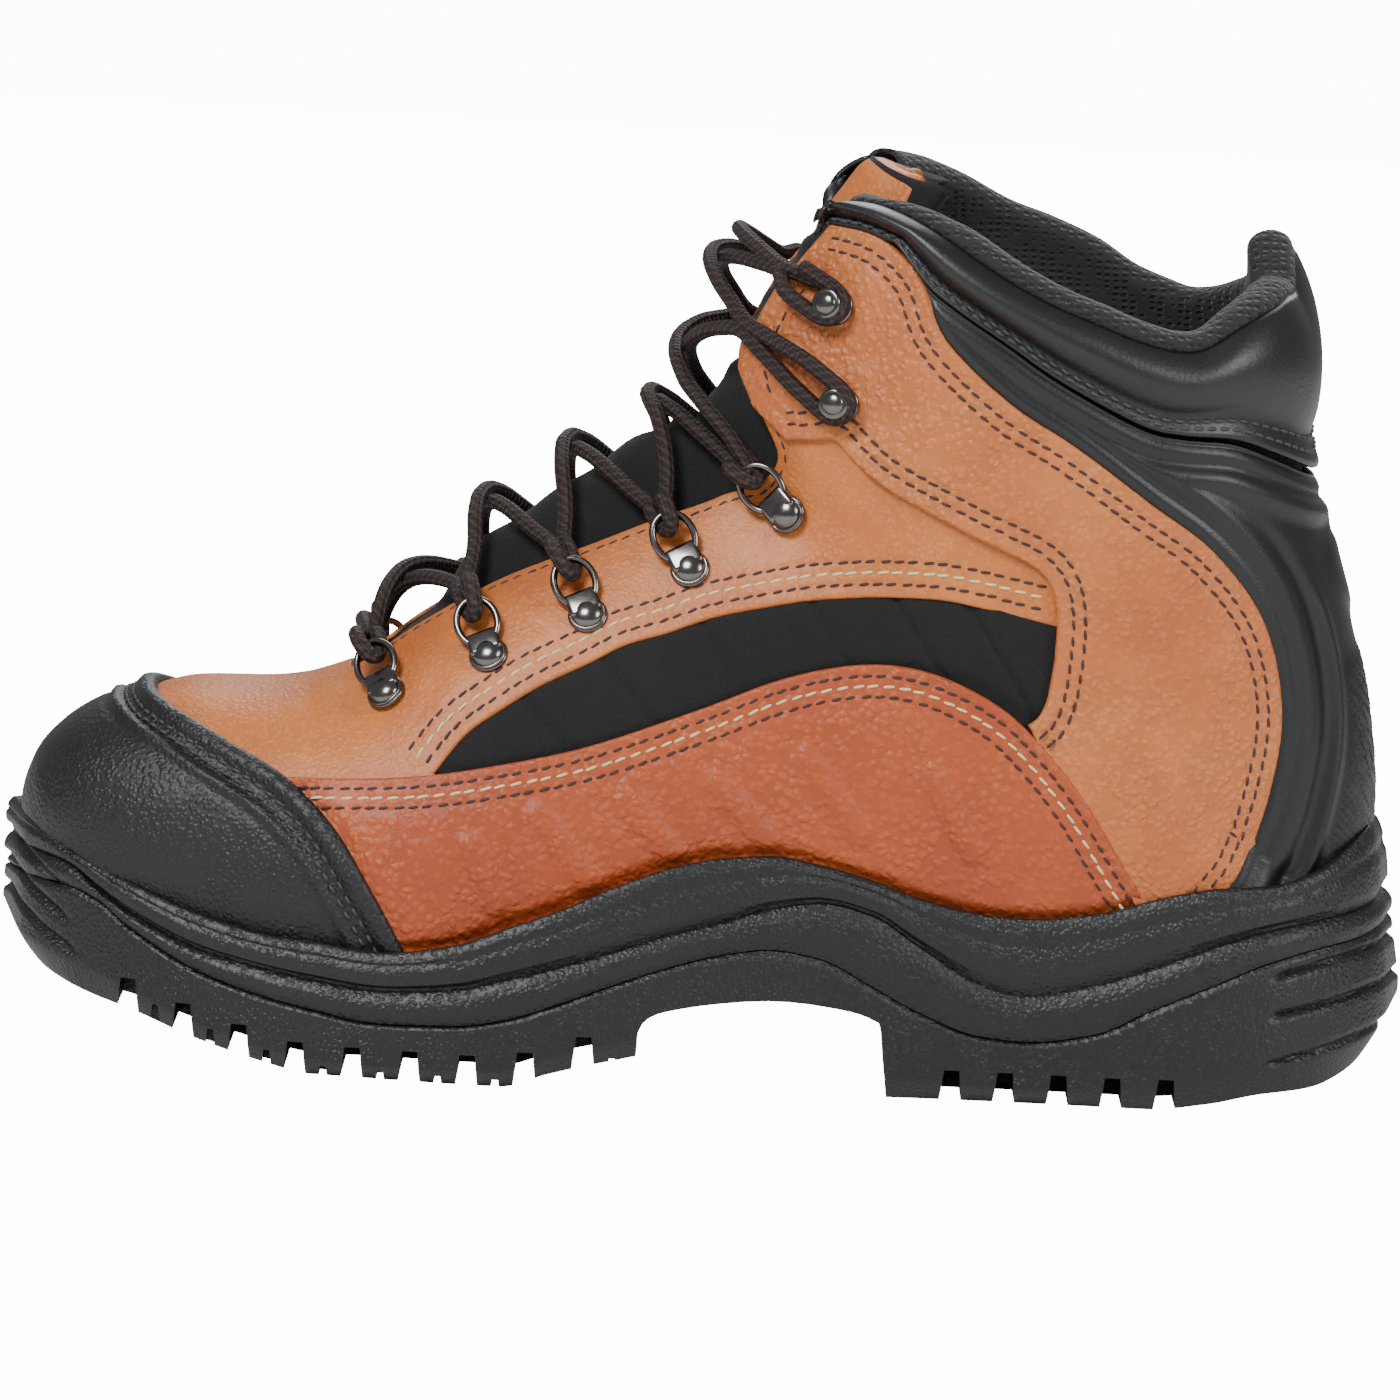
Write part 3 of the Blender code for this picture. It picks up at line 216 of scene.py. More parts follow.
def formNormal(section, turn, side):
    section = np.asarray(section, float)
    turn = np.asarray(turn, float)
    alongWay, aroundWay = formSlopes(section, turn, side)
    normal = np.cross(alongWay, aroundWay)
    onCentre = (turn > 0.999) | ((turn < 0.001) & (section >= 17))
    normal[..., 1] = np.where(onCentre, 0, normal[..., 1])
    lowX, lowZ, topX, topZ = sectionLine(section)
    core = np.stack([lowX + (topX - lowX) * 0.45, np.zeros_like(lowX) + boot["middleShift"],
                     lowZ + (topZ - lowZ) * 0.45], axis=-1)
    outward = np.sum(normal * (formPlace(section, turn, side) - core), axis=-1)
    return unit(normal) * np.sign(outward)[..., None]


def lifted(place, side, lift):
    # Points of the last moved out by lift
    place = np.asarray(place, float).reshape(-1, 2)
    return (formPlace(place[:, 0], place[:, 1], side)
            + formNormal(place[:, 0], place[:, 1], side) * np.reshape(lift, (-1, 1)))


searchGrid = np.arange(0, lastSection + 0.001, 0.02)
searchLines = sectionLine(searchGrid)


def findPlace(x, z, before=None):
    # The section and turn whose point shows at (x, z) from the side
    lowX, lowZ, topX, topZ = searchLines
    cross = (topX - lowX) * (z - lowZ) - (topZ - lowZ) * (x - lowX)
    reachSquared = (topX - lowX) ** 2 + (topZ - lowZ) ** 2
    share = ((x - lowX) * (topX - lowX) + (z - lowZ) * (topZ - lowZ)) / reachSquared
    cells = np.nonzero(cross[:-1] * cross[1:] <= 0)[0]
    best = None
    for cell in cells:
        miss = max(0, share[cell] - 1, -share[cell])
        if before is not None:
            miss = 20 * miss + abs(searchGrid[cell] - before)
        if best is None or miss < best[0]:
            best = (miss, cell)
    if best is None:
        cell = int(np.argmin(np.abs(cross) / np.sqrt(reachSquared)))
        section = searchGrid[cell]
        up = share[cell]
    else:
        cell = best[1]
        f = cross[cell] / (cross[cell] - cross[cell + 1]) if cross[cell] != cross[cell + 1] else 0
        section = searchGrid[cell] + f * 0.02
        up = share[cell] + f * (share[cell + 1] - share[cell])
    return float(section), turnOf(section, up)


def turnOf(section, up):
    _, waist, power, reach = sectionShape(np.array(section))
    up = float(np.clip(up, 0, 1))
    if up >= waist:
        angle = math.asin(min(1.0, ((up - waist) / (1 - waist)) ** (power / 2)))
        return turnSplit + (1 - turnSplit) * angle / (math.pi / 2)
    under = min(1.0, ((1 - up / waist) * reach) ** (lowRound / 2))
    return turnSplit * (1 - math.asin(under) / math.asin(reach ** (lowRound / 2)))


def smoothLine(points, steps=6):
    points = np.array(points, float)
    line = []
    for index in range(len(points) - 1):
        before = points[max(0, index - 1)]
        start = points[index]
        end = points[index + 1]
        after = points[min(len(points) - 1, index + 2)]
        for step in range(steps):
            f = step / steps
            line.append(0.5 * (2 * start + (end - before) * f
                               + (2 * before - 5 * start + 4 * end - after) * f * f
                               + (3 * start - before - 3 * end + after) * f ** 3))
    line.append(points[-1])
    return np.array(line)


def sideSeam(points, low=None, high=None, steps=6):
    # A seam given from the side, as sections and turns; low and high keep a stretch of x
    line = smoothLine(points, steps)
    if low is not None:
        line = line[line[:, 0] >= low]
    if high is not None:
        line = line[line[:, 0] <= high]
    return placesOf(line)


def placesOf(line):
    places = []
    for x, z in line:
        places.append(findPlace(x * mm, z * mm, places[-1][0] if places else None))
    return np.array(places)


def throatEdge(first, last, steps=60, widen=1.0):
    # The edge of the opening over the tongue
    section = np.linspace(first, last, steps)
    across = readForm("gap", section) * boot["ballWidth"] * widen
    return np.column_stack([section, turnAcross(section, across)])


def turnAcross(section, across):
    wide, _, power, _ = sectionShape(section)
    share = np.clip(np.abs(across) / wide, 0, 0.999)
    return turnSplit + (1 - turnSplit) * np.arccos(share ** (power / 2)) / (math.pi / 2)


def runLength(points):
    return np.concatenate([[0], np.cumsum(np.linalg.norm(np.diff(points, axis=0), axis=1))])


def spread(place, side, spacing, keepEnd=False):
    place = np.asarray(place, float)
    run = runLength(formPlace(place[:, 0], place[:, 1], side))
    count = max(1, math.ceil(run[-1] / spacing))
    at = np.linspace(0, run[-1], count + 1)
    if not keepEnd:
        at = at[:-1]
    return np.column_stack([np.interp(at, run, place[:, 0]), np.interp(at, run, place[:, 1])])


def movedAside(place, side, closed, distance):
    # Each point of a line on the last, moved over its skin to the line's left, sections growing to the right
    spots = formPlace(place[:, 0], place[:, 1], side)
    if closed:
        ahead = unit(np.roll(spots, -1, axis=0) - np.roll(spots, 1, axis=0))
    else:
        ahead = unit(np.gradient(spots, axis=0))
    left = -side * np.cross(formNormal(place[:, 0], place[:, 1], side), ahead)
    target = spots + unit(left) * distance
    alongWay, aroundWay = formSlopes(place[:, 0], place[:, 1], side)
    e = np.sum(alongWay * alongWay, axis=1)
    f = np.sum(alongWay * aroundWay, axis=1)
    g = np.sum(aroundWay * aroundWay, axis=1)
    det = np.maximum(e * g - f * f, 1e-14)
    p = np.sum(left * alongWay, axis=1) * distance
    q = np.sum(left * aroundWay, axis=1) * distance
    moved = place + np.column_stack([(g * p - f * q) / det, (e * q - f * p) / det])
    flatSide = (place[:, 1] < 0.8) & (place[:, 1] > 0.06) & (place[:, 0] > 1.5)
    for index in np.nonzero(flatSide)[0]:
        moved[index] = findPlace(target[index, 0], target[index, 2], place[index, 0])
    return moved


def offsetSeam(place, side, distance):
    dense = spread(place, side, 0.0015, keepEnd=True)
    return movedAside(dense, side, False, distance)


def insideLoop(points, loop):
    x, y = points[:, :1], points[:, 1:]
    x0, y0 = loop[:, 0], loop[:, 1]
    x1, y1 = np.roll(x0, -1), np.roll(y0, -1)
    crosses = (y0 > y) != (y1 > y)
    at = x0 + (y - y0) * (x1 - x0) / np.where(y1 == y0, 1e-12, y1 - y0)
    return np.sum(crosses & (x < at), axis=1) % 2 == 1


def nearest(points, targets):
    best = np.full(len(points), 1e9)
    for start in range(0, len(targets), 200):
        part = targets[start:start + 200]
        gap = np.linalg.norm(points[:, None, :] - part[None, :, :], axis=2).min(axis=1)
        best = np.minimum(best, gap)
    return best


edgeProfile = ((0.0, 0.40), (0.10, 0.66), (0.32, 0.87), (0.65, 0.97), (1.0, 1.0))


def panelHalf(side, edges, base, thick, spacing, roundness, relief=None):
    loop = []
    centre = []
    main = []
    for kind, place in edges:
        part = spread(place, side, spacing)
        loop.append(part)
        centre += [kind == "centre"] * len(part)
        main += [kind == "main"] * len(part)
    loop = np.vstack(loop)
    centre = np.array(centre)
    main = np.array(main)
    area = np.sum(loop[:, 0] * np.roll(loop[:, 1], -1) - np.roll(loop[:, 0], -1) * loop[:, 1])
    if area < 0:
        loop, centre, main = loop[::-1], centre[::-1], main[::-1]
    onCentre = centre | np.roll(centre, 1) | np.roll(centre, -1)
    onCentre &= (loop[:, 1] > 0.9985) | (loop[:, 1] < 0.0015)
    inward = movedAside(loop, side, True, roundness) - loop
    inward[onCentre, 1] = 0
    inward[centre] = 0
    count = len(loop)
    rings = [loop + inward * share for share, height in edgeProfile]
    last = rings[-1]
    alongWay, aroundWay = formSlopes(last[:, 0], last[:, 1], side)
    perSection = np.linalg.norm(alongWay, axis=1).mean()
    inner = []
    for row, section in enumerate(np.arange(last[:, 0].min(), last[:, 0].max(), spacing / perSection)):
        turns = np.linspace(0, 1, 200)
        run = runLength(formPlace(np.full(200, section), turns, side))
        at = np.arange((row % 2) * spacing / 2, run[-1], spacing)
        inner.append(np.column_stack([np.full(len(at), section), np.interp(at, run, turns)]))
    inner = np.vstack(inner)
    inner = inner[insideLoop(inner, last)]
    innerSpots = formPlace(inner[:, 0], inner[:, 1], side)
    ringSpots = formPlace(last[:, 0], last[:, 1], side)
    inner = inner[nearest(innerSpots, ringSpots) > 0.62 * spacing]
    flat = np.vstack([last, inner])
    scale = np.array([perSection, np.linalg.norm(aroundWay, axis=1).mean()]) * 1000
    flatPoints = [Vector(point) for point in flat * scale]
    result = delaunay_2d_cdt(flatPoints, [], [list(range(count))], 1, 1e-6)
    inputIds = [ids[0] if ids else -1 for ids in result[3]]
    ringFaces = []
    for ring in range(len(rings) - 1):
        for index in range(count):
            after = (index + 1) % count
            if centre[index] and centre[after]:
                continue
            ringFaces.append((ring * count + index, ring * count + after,
                              (ring + 1) * count + after, (ring + 1) * count + index))
    start = (len(rings) - 1) * count
    faces = ringFaces + [tuple(start + inputIds[corner] for corner in face)
                         for face in result[2] if min(inputIds[corner] for corner in face) >= 0]
    place = np.vstack(rings + [inner])
    heights = np.concatenate([np.full(count, height) for _, height in edgeProfile] + [np.ones(len(inner))])
    for ring in range(len(edgeProfile)):
        heights[ring * count:(ring + 1) * count][centre] = 1.0
    spots = formPlace(place[:, 0], place[:, 1], side)
    freeSpots = formPlace(loop[~centre, 0], loop[~centre, 1], side)
    mainSpots = formPlace(loop[main, 0], loop[main, 1], side) if main.any() else freeSpots
    edgeGap = nearest(spots, freeSpots)
    mainGap = nearest(spots, mainSpots)
    lift = base + thick * heights
    if relief is not None:
        ease = np.clip(edgeGap / 0.0008, 0, 1)
        lift = lift + relief(spots, mainGap, edgeGap, place) * ease
    normal = formNormal(place[:, 0], place[:, 1], side)
    top = spots + normal * lift[:, None]
    low = spots + normal * base
    total = len(place)
    walls = []
    for index in range(count):
        after = (index + 1) % count
        if not (centre[index] and centre[after]):
            walls.append((index + total, after + total, after, index))
    lowFaces = [tuple(index + total for index in reversed(face)) for face in faces]
    points = np.vstack([top, low])
    if side > 0:
        faces = [tuple(reversed(face)) for face in faces]
        lowFaces = [tuple(reversed(face)) for face in lowFaces]
        walls = [tuple(reversed(face)) for face in walls]
    gaps = np.concatenate([mainGap, mainGap])
    return points, faces, walls + lowFaces, gaps


def meshPiece(name, points, faces, material, extra=None, faceKinds=None):
    mesh = bpy.data.meshes.new(name)
    mesh.from_pydata([tuple(point) for point in points], [], faces)
    mesh.materials.append(material)
    if extra is not None:
        layer = mesh.attributes.new("edgeGap", "FLOAT", "POINT")
        layer.data.foreach_set("value", np.asarray(extra, np.float32))
    piece = bpy.data.objects.new(name, mesh)
    bpy.context.scene.collection.objects.link(piece)
    if faceKinds is not None:
        mesh.materials.append(faceKinds[0])
        mesh.polygons.foreach_set("material_index", np.asarray(faceKinds[1], np.int32))
    shape = bmesh.new()
    shape.from_mesh(mesh)
    bmesh.ops.remove_doubles(shape, verts=shape.verts, dist=2e-6)
    bmesh.ops.dissolve_degenerate(shape, edges=shape.edges, dist=1e-6)
    shape.to_mesh(mesh)
    shape.free()
    mesh.polygons.foreach_set("use_smooth", np.ones(len(mesh.polygons), bool))
    mesh.update()
    return piece


def makePanel(name, material, halves, base, thick, spacing=0.0013, roundness=0.0012, relief=None, under=None):
    # halves maps a side to its edges; sides that meet on a centre line are welded there
    points, faces, kinds, gaps = [], [], [], []
    for side, edges in halves.items():
        spots, topFaces, otherFaces, gap = panelHalf(side, edges, base, thick, spacing, roundness, relief)
        offset = sum(len(part) for part in points)
        points.append(spots)
        gaps.append(gap)
        for kind, group in enumerate((topFaces, otherFaces)):
            faces += [tuple(index + offset for index in face) for face in group]
            kinds += [kind] * len(group)
    faceKinds = (under, kinds) if under else None
    return meshPiece(name, np.vstack(points), faces, material, np.concatenate(gaps), faceKinds)


def keep(piece, slot, *nodes):
    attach(piece, "root")
    if nodes:
        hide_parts(*nodes)
    return piece


# Materials

def colour(hexCode):
    parts = [int(hexCode[start:start + 2], 16) / 255 for start in (1, 3, 5)]
    linear = [part / 12.92 if part <= 0.04045 else ((part + 0.055) / 1.055) ** 2.4 for part in parts]
    return (*linear, 1)


def addNode(tree, kind, settings, values, links):
    node = tree.nodes.new(kind)
    for key, value in settings.items():
        setattr(node, key, value)
    for key, value in values.items():
        node.inputs[key].default_value = value
    for key, source in links.items():
        tree.links.new(source, node.inputs[key])
    return node


def startMaterial(name):
    material = bpy.data.materials.new(name)
    material.use_nodes = True
    tree = material.node_tree
    shader = tree.nodes["Principled BSDF"]
    place = addNode(tree, "ShaderNodeTexCoord", {}, {}, {}).outputs["Object"]
    return material, tree, shader, place


def grained(name, look):
    # A hide or a moulded skin: cells with creases between them, painted shade that darkens the creases, a
    # finer grain and slow colour drift
    material, tree, shader, place = startMaterial(name)
    warp = addNode(tree, "ShaderNodeTexNoise", {}, {"Scale": 0.6 / look["cell"], "Detail": 2.0},
                   {"Vector": place})
    bend = addNode(tree, "ShaderNodeMix", {"data_type": "VECTOR"}, {0: look["warp"]},
                   {4: place, 5: warp.outputs["Color"]})
    cells = addNode(tree, "ShaderNodeTexVoronoi", {"feature": "SMOOTH_F1"},
                    {"Scale": 1 / look["cell"], "Smoothness": look["creaseWidth"]},
                    {"Vector": bend.outputs[1]})
    edge = addNode(tree, "ShaderNodeMapRange", {}, {"From Min": 0.62, "From Max": 0.12},
                   {"Value": cells.outputs["Distance"]})
    patch = addNode(tree, "ShaderNodeTexNoise", {}, {"Scale": 0.13 / look["cell"], "Detail": 2.0},
                    {"Vector": place})
    worn = addNode(tree, "ShaderNodeMapRange", {}, {"From Min": 0.40, "From Max": 0.70, "To Max": 0.55},
                   {"Value": patch.outputs["Fac"]})
    crease = addNode(tree, "ShaderNodeMix", {"data_type": "FLOAT"}, {3: 1.0},
                     {0: worn.outputs[0], 2: edge.outputs[0]})
    fine = addNode(tree, "ShaderNodeTexNoise", {}, {"Scale": 1 / look["fine"], "Detail": 3.0},
                   {"Vector": place})
    drift = addNode(tree, "ShaderNodeTexNoise", {}, {"Scale": 1 / 0.030, "Detail": 3.0}, {"Vector": place})
    driftEven = addNode(tree, "ShaderNodeMapRange", {}, {"From Min": 0.35, "From Max": 0.65},
                        {"Value": drift.outputs["Fac"]})
    body = addNode(tree, "ShaderNodeMix", {"data_type": "RGBA"},
                   {6: colour(look["light"]), 7: colour(look["deep"])}, {0: driftEven.outputs[0]})
    # Painted shade: the crease colour darkens the creases, on top of the shade their bump already gives
    tint = addNode(tree, "ShaderNodeMix", {"data_type": "RGBA"}, {6: colour(look["crease"])},
                   {0: crease.outputs[0], 7: body.outputs[2]})
    creaseShadeBlend = addNode(tree, "ShaderNodeMix", {"data_type": "RGBA"}, {0: look["creaseShadeShare"]},
                     {6: body.outputs[2], 7: tint.outputs[2]})
    tree.links.new(creaseShadeBlend.outputs[2], shader.inputs["Base Color"])
    gloss = addNode(tree, "ShaderNodeMapRange", {},
                    {"To Min": look["rough"] + 0.08, "To Max": look["rough"] - 0.08},
                    {"Value": fine.outputs["Fac"]})
    tree.links.new(gloss.outputs[0], shader.inputs["Roughness"])
    coarseBump = addNode(tree, "ShaderNodeBump", {}, {"Strength": 1.0, "Distance": look["creaseDepth"]},
                         {"Height": crease.outputs[0]})
    fineBump = addNode(tree, "ShaderNodeBump", {}, {"Strength": 1.0, "Distance": look["fineDepth"]},
                       {"Height": fine.outputs["Fac"], "Normal": coarseBump.outputs[0]})
    tree.links.new(fineBump.outputs[0], shader.inputs["Normal"])
    shader.inputs["Coat Weight"].default_value = look["coat"]
    shader.inputs["Coat Roughness"].default_value = 0.35
    shader.inputs["Sheen Weight"].default_value = look["sheen"]
    shader.inputs["Sheen Roughness"].default_value = 0.5
    return material


# Milled full-grain leather, tumbled so that its pebble opens: satin, warm tan, with painted shade in the
# creases
pebbleLook = {"light": "#C8763A", "deep": "#B8622A", "crease": "#7C3D17", "creaseShadeShare": 0.34, "cell": 0.0017,
              "warp": 0.0020, "creaseWidth": 0.25, "creaseDepth": 0.00034, "fine": 0.00060,
              "fineDepth": 0.00010, "rough": 0.48, "coat": 0.04, "sheen": 0.0}
vampLook = dict(pebbleLook, light="#C87635", deep="#B96226", cell=0.0013, creaseDepth=0.00012,
                creaseShadeShare=0.30)
# Oiled leather, redder and a little smoother, with the same tumbled pebble and a redder painted shade in its
# creases
foxingLook = dict(pebbleLook, light="#B5521F", deep="#A34318", crease="#612409", rough=0.50, cell=0.0019)
# Injection-moulded thermoplastic rubber with an etched skin: matt black, soft highlight, painted shade in the
# etched creases
capLook = {"light": "#101112", "deep": "#0C0D0E", "crease": "#070808", "creaseShadeShare": 0.5, "cell": 0.0011,
           "warp": 0.0010, "creaseWidth": 0.30, "creaseDepth": 0.00021, "fine": 0.0004, "fineDepth": 0.00003,
           "rough": 0.50, "coat": 0.0, "sheen": 0.0}
counterLook = dict(capLook, light="#121416", deep="#0E1011", cell=0.0007, creaseDepth=0.00002, rough=0.40)
# Moulded sole rubber with a spark-eroded pebble: black, a faint sparkle on each grain
soleLook = dict(capLook, light="#101112", deep="#0C0D0D", cell=0.0010, creaseWidth=0.30, creaseDepth=0.00018,
                rough=0.46)
# Coated split leather over foam: nearly smooth, low sheen
collarLook = dict(capLook, light="#0D0E10", deep="#0A0B0C", cell=0.0011, creaseDepth=0.00003, fine=0.0006,
                  rough=0.42, coat=0.12)
# Suede split: matt, with a short nap that scatters light at grazing angles
suedeLook = dict(capLook, light="#0C0C0D", deep="#060607", cell=0.0012, creaseDepth=0.00012, fine=0.0003,
                 fineDepth=0.00022, rough=0.92, sheen=0.06)

pebbleLeather = grained("milledLeatherPebbled", pebbleLook)
vampLeather = grained("milledLeatherVamp", vampLook)
foxingLeather = grained("oiledLeatherFoxing", foxingLook)
capRubber = grained("etchedRubberCap", capLook)
counterRubber = grained("smoothRubberCounter", counterLook)
soleRubber = grained("pebbledSoleRubber", soleLook)
collarLeather = grained("coatedCollarLeather", collarLook)
blackSuede = grained("blackSuede", suedeLook)


def meshCloth(name):
    # Spacer mesh: a knitted polyester with open holes about 2 mm apart, black, with painted shade in the
    # holes
    material, tree, shader, place = startMaterial(name)
    spin = addNode(tree, "ShaderNodeMapping", {}, {"Scale": (480, 480, 700)}, {"Vector": place})
    holes = addNode(tree, "ShaderNodeTexVoronoi", {"feature": "F1"}, {"Scale": 1.0, "Randomness": 0.25},
                    {"Vector": spin.outputs[0]})
    hollow = addNode(tree, "ShaderNodeMapRange", {"interpolation_type": "SMOOTHSTEP"},
                    {"From Min": 0.2, "From Max": 0.5}, {"Value": holes.outputs["Distance"]})
    # Painted shade: the holes are coloured darker than the yarn around them
    tint = addNode(tree, "ShaderNodeMix", {"data_type": "RGBA"}, {6: colour("#050505"), 7: colour("#121314")},
                   {0: hollow.outputs[0]})
    yarn = addNode(tree, "ShaderNodeTexNoise", {}, {"Scale": 2500.0, "Detail": 2.0}, {"Vector": place})
    deep = addNode(tree, "ShaderNodeBump", {}, {"Distance": 0.0006}, {"Height": hollow.outputs[0]})
    fuzz = addNode(tree, "ShaderNodeBump", {}, {"Distance": 0.00015},
                   {"Height": yarn.outputs["Fac"], "Normal": deep.outputs[0]})
    tree.links.new(tint.outputs[2], shader.inputs["Base Color"])
    tree.links.new(fuzz.outputs[0], shader.inputs["Normal"])
    shader.inputs["Roughness"].default_value = 0.85
    shader.inputs["Sheen Weight"].default_value = 0.15
    return material


def threadMaterial(name, hexCode):
    # Bonded nylon sewing thread: a twisted filament with a slight gloss
    material, tree, shader, place = startMaterial(name)
    twist = addNode(tree, "ShaderNodeTexNoise", {}, {"Scale": 3000.0}, {"Vector": place})
    tint = addNode(tree, "ShaderNodeMix", {"data_type": "RGBA", "blend_type": "MULTIPLY"},
                   {0: 0.5, 6: colour(hexCode)}, {7: twist.outputs["Color"]})
    lift = addNode(tree, "ShaderNodeBump", {}, {"Distance": 0.0001}, {"Height": twist.outputs["Fac"]})
    tree.links.new(tint.outputs[2], shader.inputs["Base Color"])
    tree.links.new(lift.outputs[0], shader.inputs["Normal"])
    shader.inputs["Roughness"].default_value = 0.55
    return material


def metalMaterial(name):
    # Brass pressed and plated in black nickel: a dark mirror with fine tumbling marks
    material, tree, shader, place = startMaterial(name)
    marks = addNode(tree, "ShaderNodeTexNoise", {}, {"Scale": 900.0, "Detail": 4.0}, {"Vector": place})
    gloss = addNode(tree, "ShaderNodeMapRange", {}, {"To Min": 0.12, "To Max": 0.30},
                    {"Value": marks.outputs["Fac"]})
    tree.links.new(gloss.outputs[0], shader.inputs["Roughness"])
    shader.inputs["Base Color"].default_value = colour("#6E6B68")
    shader.inputs["Metallic"].default_value = 1.0
    return material


def braidMaterial(name):
    # Round polyester braid: black carriers with dark red-brown ones woven through, matt
    material, tree, shader, _ = startMaterial(name)
    along = addNode(tree, "ShaderNodeUVMap", {}, {}, {}).outputs[0]
    split = addNode(tree, "ShaderNodeSeparateXYZ", {}, {}, {"Vector": along})
    waves = []
    for sign in (1, -1):
        turn = addNode(tree, "ShaderNodeMath", {"operation": "MULTIPLY"}, {1: sign * 4.0},
                       {0: split.outputs[1]})
        both = addNode(tree, "ShaderNodeMath", {"operation": "MULTIPLY_ADD"}, {1: 420.0},
                       {0: split.outputs[0], 2: turn.outputs[0]})
        full = addNode(tree, "ShaderNodeMath", {"operation": "MULTIPLY"}, {1: math.tau}, {0: both.outputs[0]})
        waves.append(addNode(tree, "ShaderNodeMath", {"operation": "SINE"}, {}, {0: full.outputs[0]}))
    weave = addNode(tree, "ShaderNodeMath", {"operation": "MULTIPLY"}, {},
                    {0: waves[0].outputs[0], 1: waves[1].outputs[0]})
    height = addNode(tree, "ShaderNodeMapRange", {}, {"From Min": -1.0}, {"Value": weave.outputs[0]})
    carrier = addNode(tree, "ShaderNodeMapRange", {}, {"From Min": 0.1, "From Max": 0.5},
                      {"Value": waves[0].outputs[0]})
    tint = addNode(tree, "ShaderNodeMix", {"data_type": "RGBA"}, {6: colour("#0B090A"), 7: colour("#351A13")},
                   {0: carrier.outputs[0]})
    shade = addNode(tree, "ShaderNodeBump", {}, {"Distance": 0.0005}, {"Height": height.outputs[0]})
    tree.links.new(tint.outputs[2], shader.inputs["Base Color"])
    tree.links.new(shade.outputs[0], shader.inputs["Normal"])
    shader.inputs["Roughness"].default_value = 0.7
    return material


liningMesh = meshCloth("spacerMeshLining")
darkThread = threadMaterial("darkBrownThread", "#3A2226")
creamThread = threadMaterial("creamThread", "#EFE0A6")
# Black thread coloured dark grey: a painted highlight, so its rows show on the black collar and toe cap
blackThreadPaintedHighlight = threadMaterial("blackThreadPaintedHighlight", "#3A3C40")
gunmetal = metalMaterial("blackNickelPlating")
laceBraid = braidMaterial("roundBraidLace")
print("materials ready")


# Seams as sections and turns
rimLine = sideSeam(capRim[1:])
rimLine[0, 1] = 1.0
rimLine[-1, 1] = 0.02
foxingLine = sideSeam(foxingTop)
rearLine = sideSeam(ankleRear)
frontLine = sideSeam(ankleFront)
collarSeamLine = sideSeam(collarSeam)
windowLine = sideSeam(windowTop)


def stretch(start, end, count=60):
    return np.linspace(start, end, count)


def between(line, low, high):
    return line[(line[:, 0] >= low) & (line[:, 0] <= high)]


# Shell of the upper: suede outside, mesh lining inside; leather panels lie on it
shell = {"outer": -0.0011, "inner": -0.0021}


def toplineOf(side, drop=0.0):
    line = smoothLine(collarTopSides[side])
    return placesOf(line - np.array([[0, drop]]))


def shellEdges(side):
    topline = toplineOf(side, 3.0)
    ends = topline[topline[:, 1] <= 0.012]
    backTop = ends[0][0] if len(ends) else topline[-1][0]
    topline = topline[topline[:, 1] > 0.012]
    throat = throatEdge(7.1, lastSection - 0.5, 80)
    meet = topline[0]
    frontTop = throat[np.argmin(np.abs(throat[:, 0] - meet[0]))][0]
    throat = throat[throat[:, 0] <= frontTop]
    topline = topline[topline[:, 1] < throat[-1][1]]
    return [("centre", stretch((7.1, 1.0), (0.03, 1.0))),
            ("free", stretch((0.03, 1.0), (0.03, 0.0))),
            ("free", stretch((0.03, 0.0), (17.0, 0.0))),
            ("centre", stretch((17.0, 0.0), (backTop, 0.0))),
            ("free", np.vstack([[(backTop, 0.0)], topline[::-1], throat[-1:]])),
            ("free", np.vstack([throat[::-1], [(7.1, 1.0)]]))]


shellPiece = makePanel("upperShell", blackSuede, {side: shellEdges(side) for side in (-1, 1)},
                       shell["inner"], shell["outer"] - shell["inner"], spacing=0.0022, roundness=0.0005,
                       under=liningMesh)
keep(shellPiece, "full_grain_leather", "upper")
print("shell ready")


# Overlays, in the order a maker stitches them down
def bell(gap, centre, width):
    return np.exp(-((gap - centre) / width) ** 2)


def creased(spots, creases):
    # How deep the leather has folded: each crease has its place, length, depth, tilt and width in mm
    total = 0
    for x, z, length, depth, tilt, width in creases:
        dx = spots[:, 0] - x * mm
        dz = spots[:, 2] - z * mm
        along = dx * math.sin(tilt) + dz * math.cos(tilt)
        aside = dx * math.cos(tilt) - dz * math.sin(tilt)
        total = total + depth * mm * np.exp(-(aside / (width * mm)) ** 2 - (along / (length * mm / 2)) ** 2)
    return total


# Vamp and eyestay: one leather level, from the toe cap back to the ankle panel
vamp = {"base": -0.0010, "thick": 0.0011, "dip": 0.00022,
        "creases": ((-62, 84, 14, 0.30, 0.3, 2.2), (-55, 80, 18, 0.28, 0.45, 2.2),
                    (-88, 76, 16, 0.22, -0.2, 2.2), (-79, 80, 18, 0.20, 0.1, 2.2),
                    (-8, 124, 12, 0.22, 0.5, 2.2), (6, 126, 14, 0.20, 0.7, 2.2))}


def vampRelief(spots, mainGap, edgeGap, place):
    seams = sum(bell(mainGap, distance, 0.0007) for distance in (0.0029, 0.0055, 0.0079))
    join = np.abs(spots[:, 0] + 0.0385 + (spots[:, 2] - 0.100) * 0.15) / mm
    flex = creased(spots, vamp["creases"])
    return -vamp["dip"] * seams - flex - 0.00030 * np.exp(-(join / 0.45) ** 2) * (spots[:, 2] > 0.084)


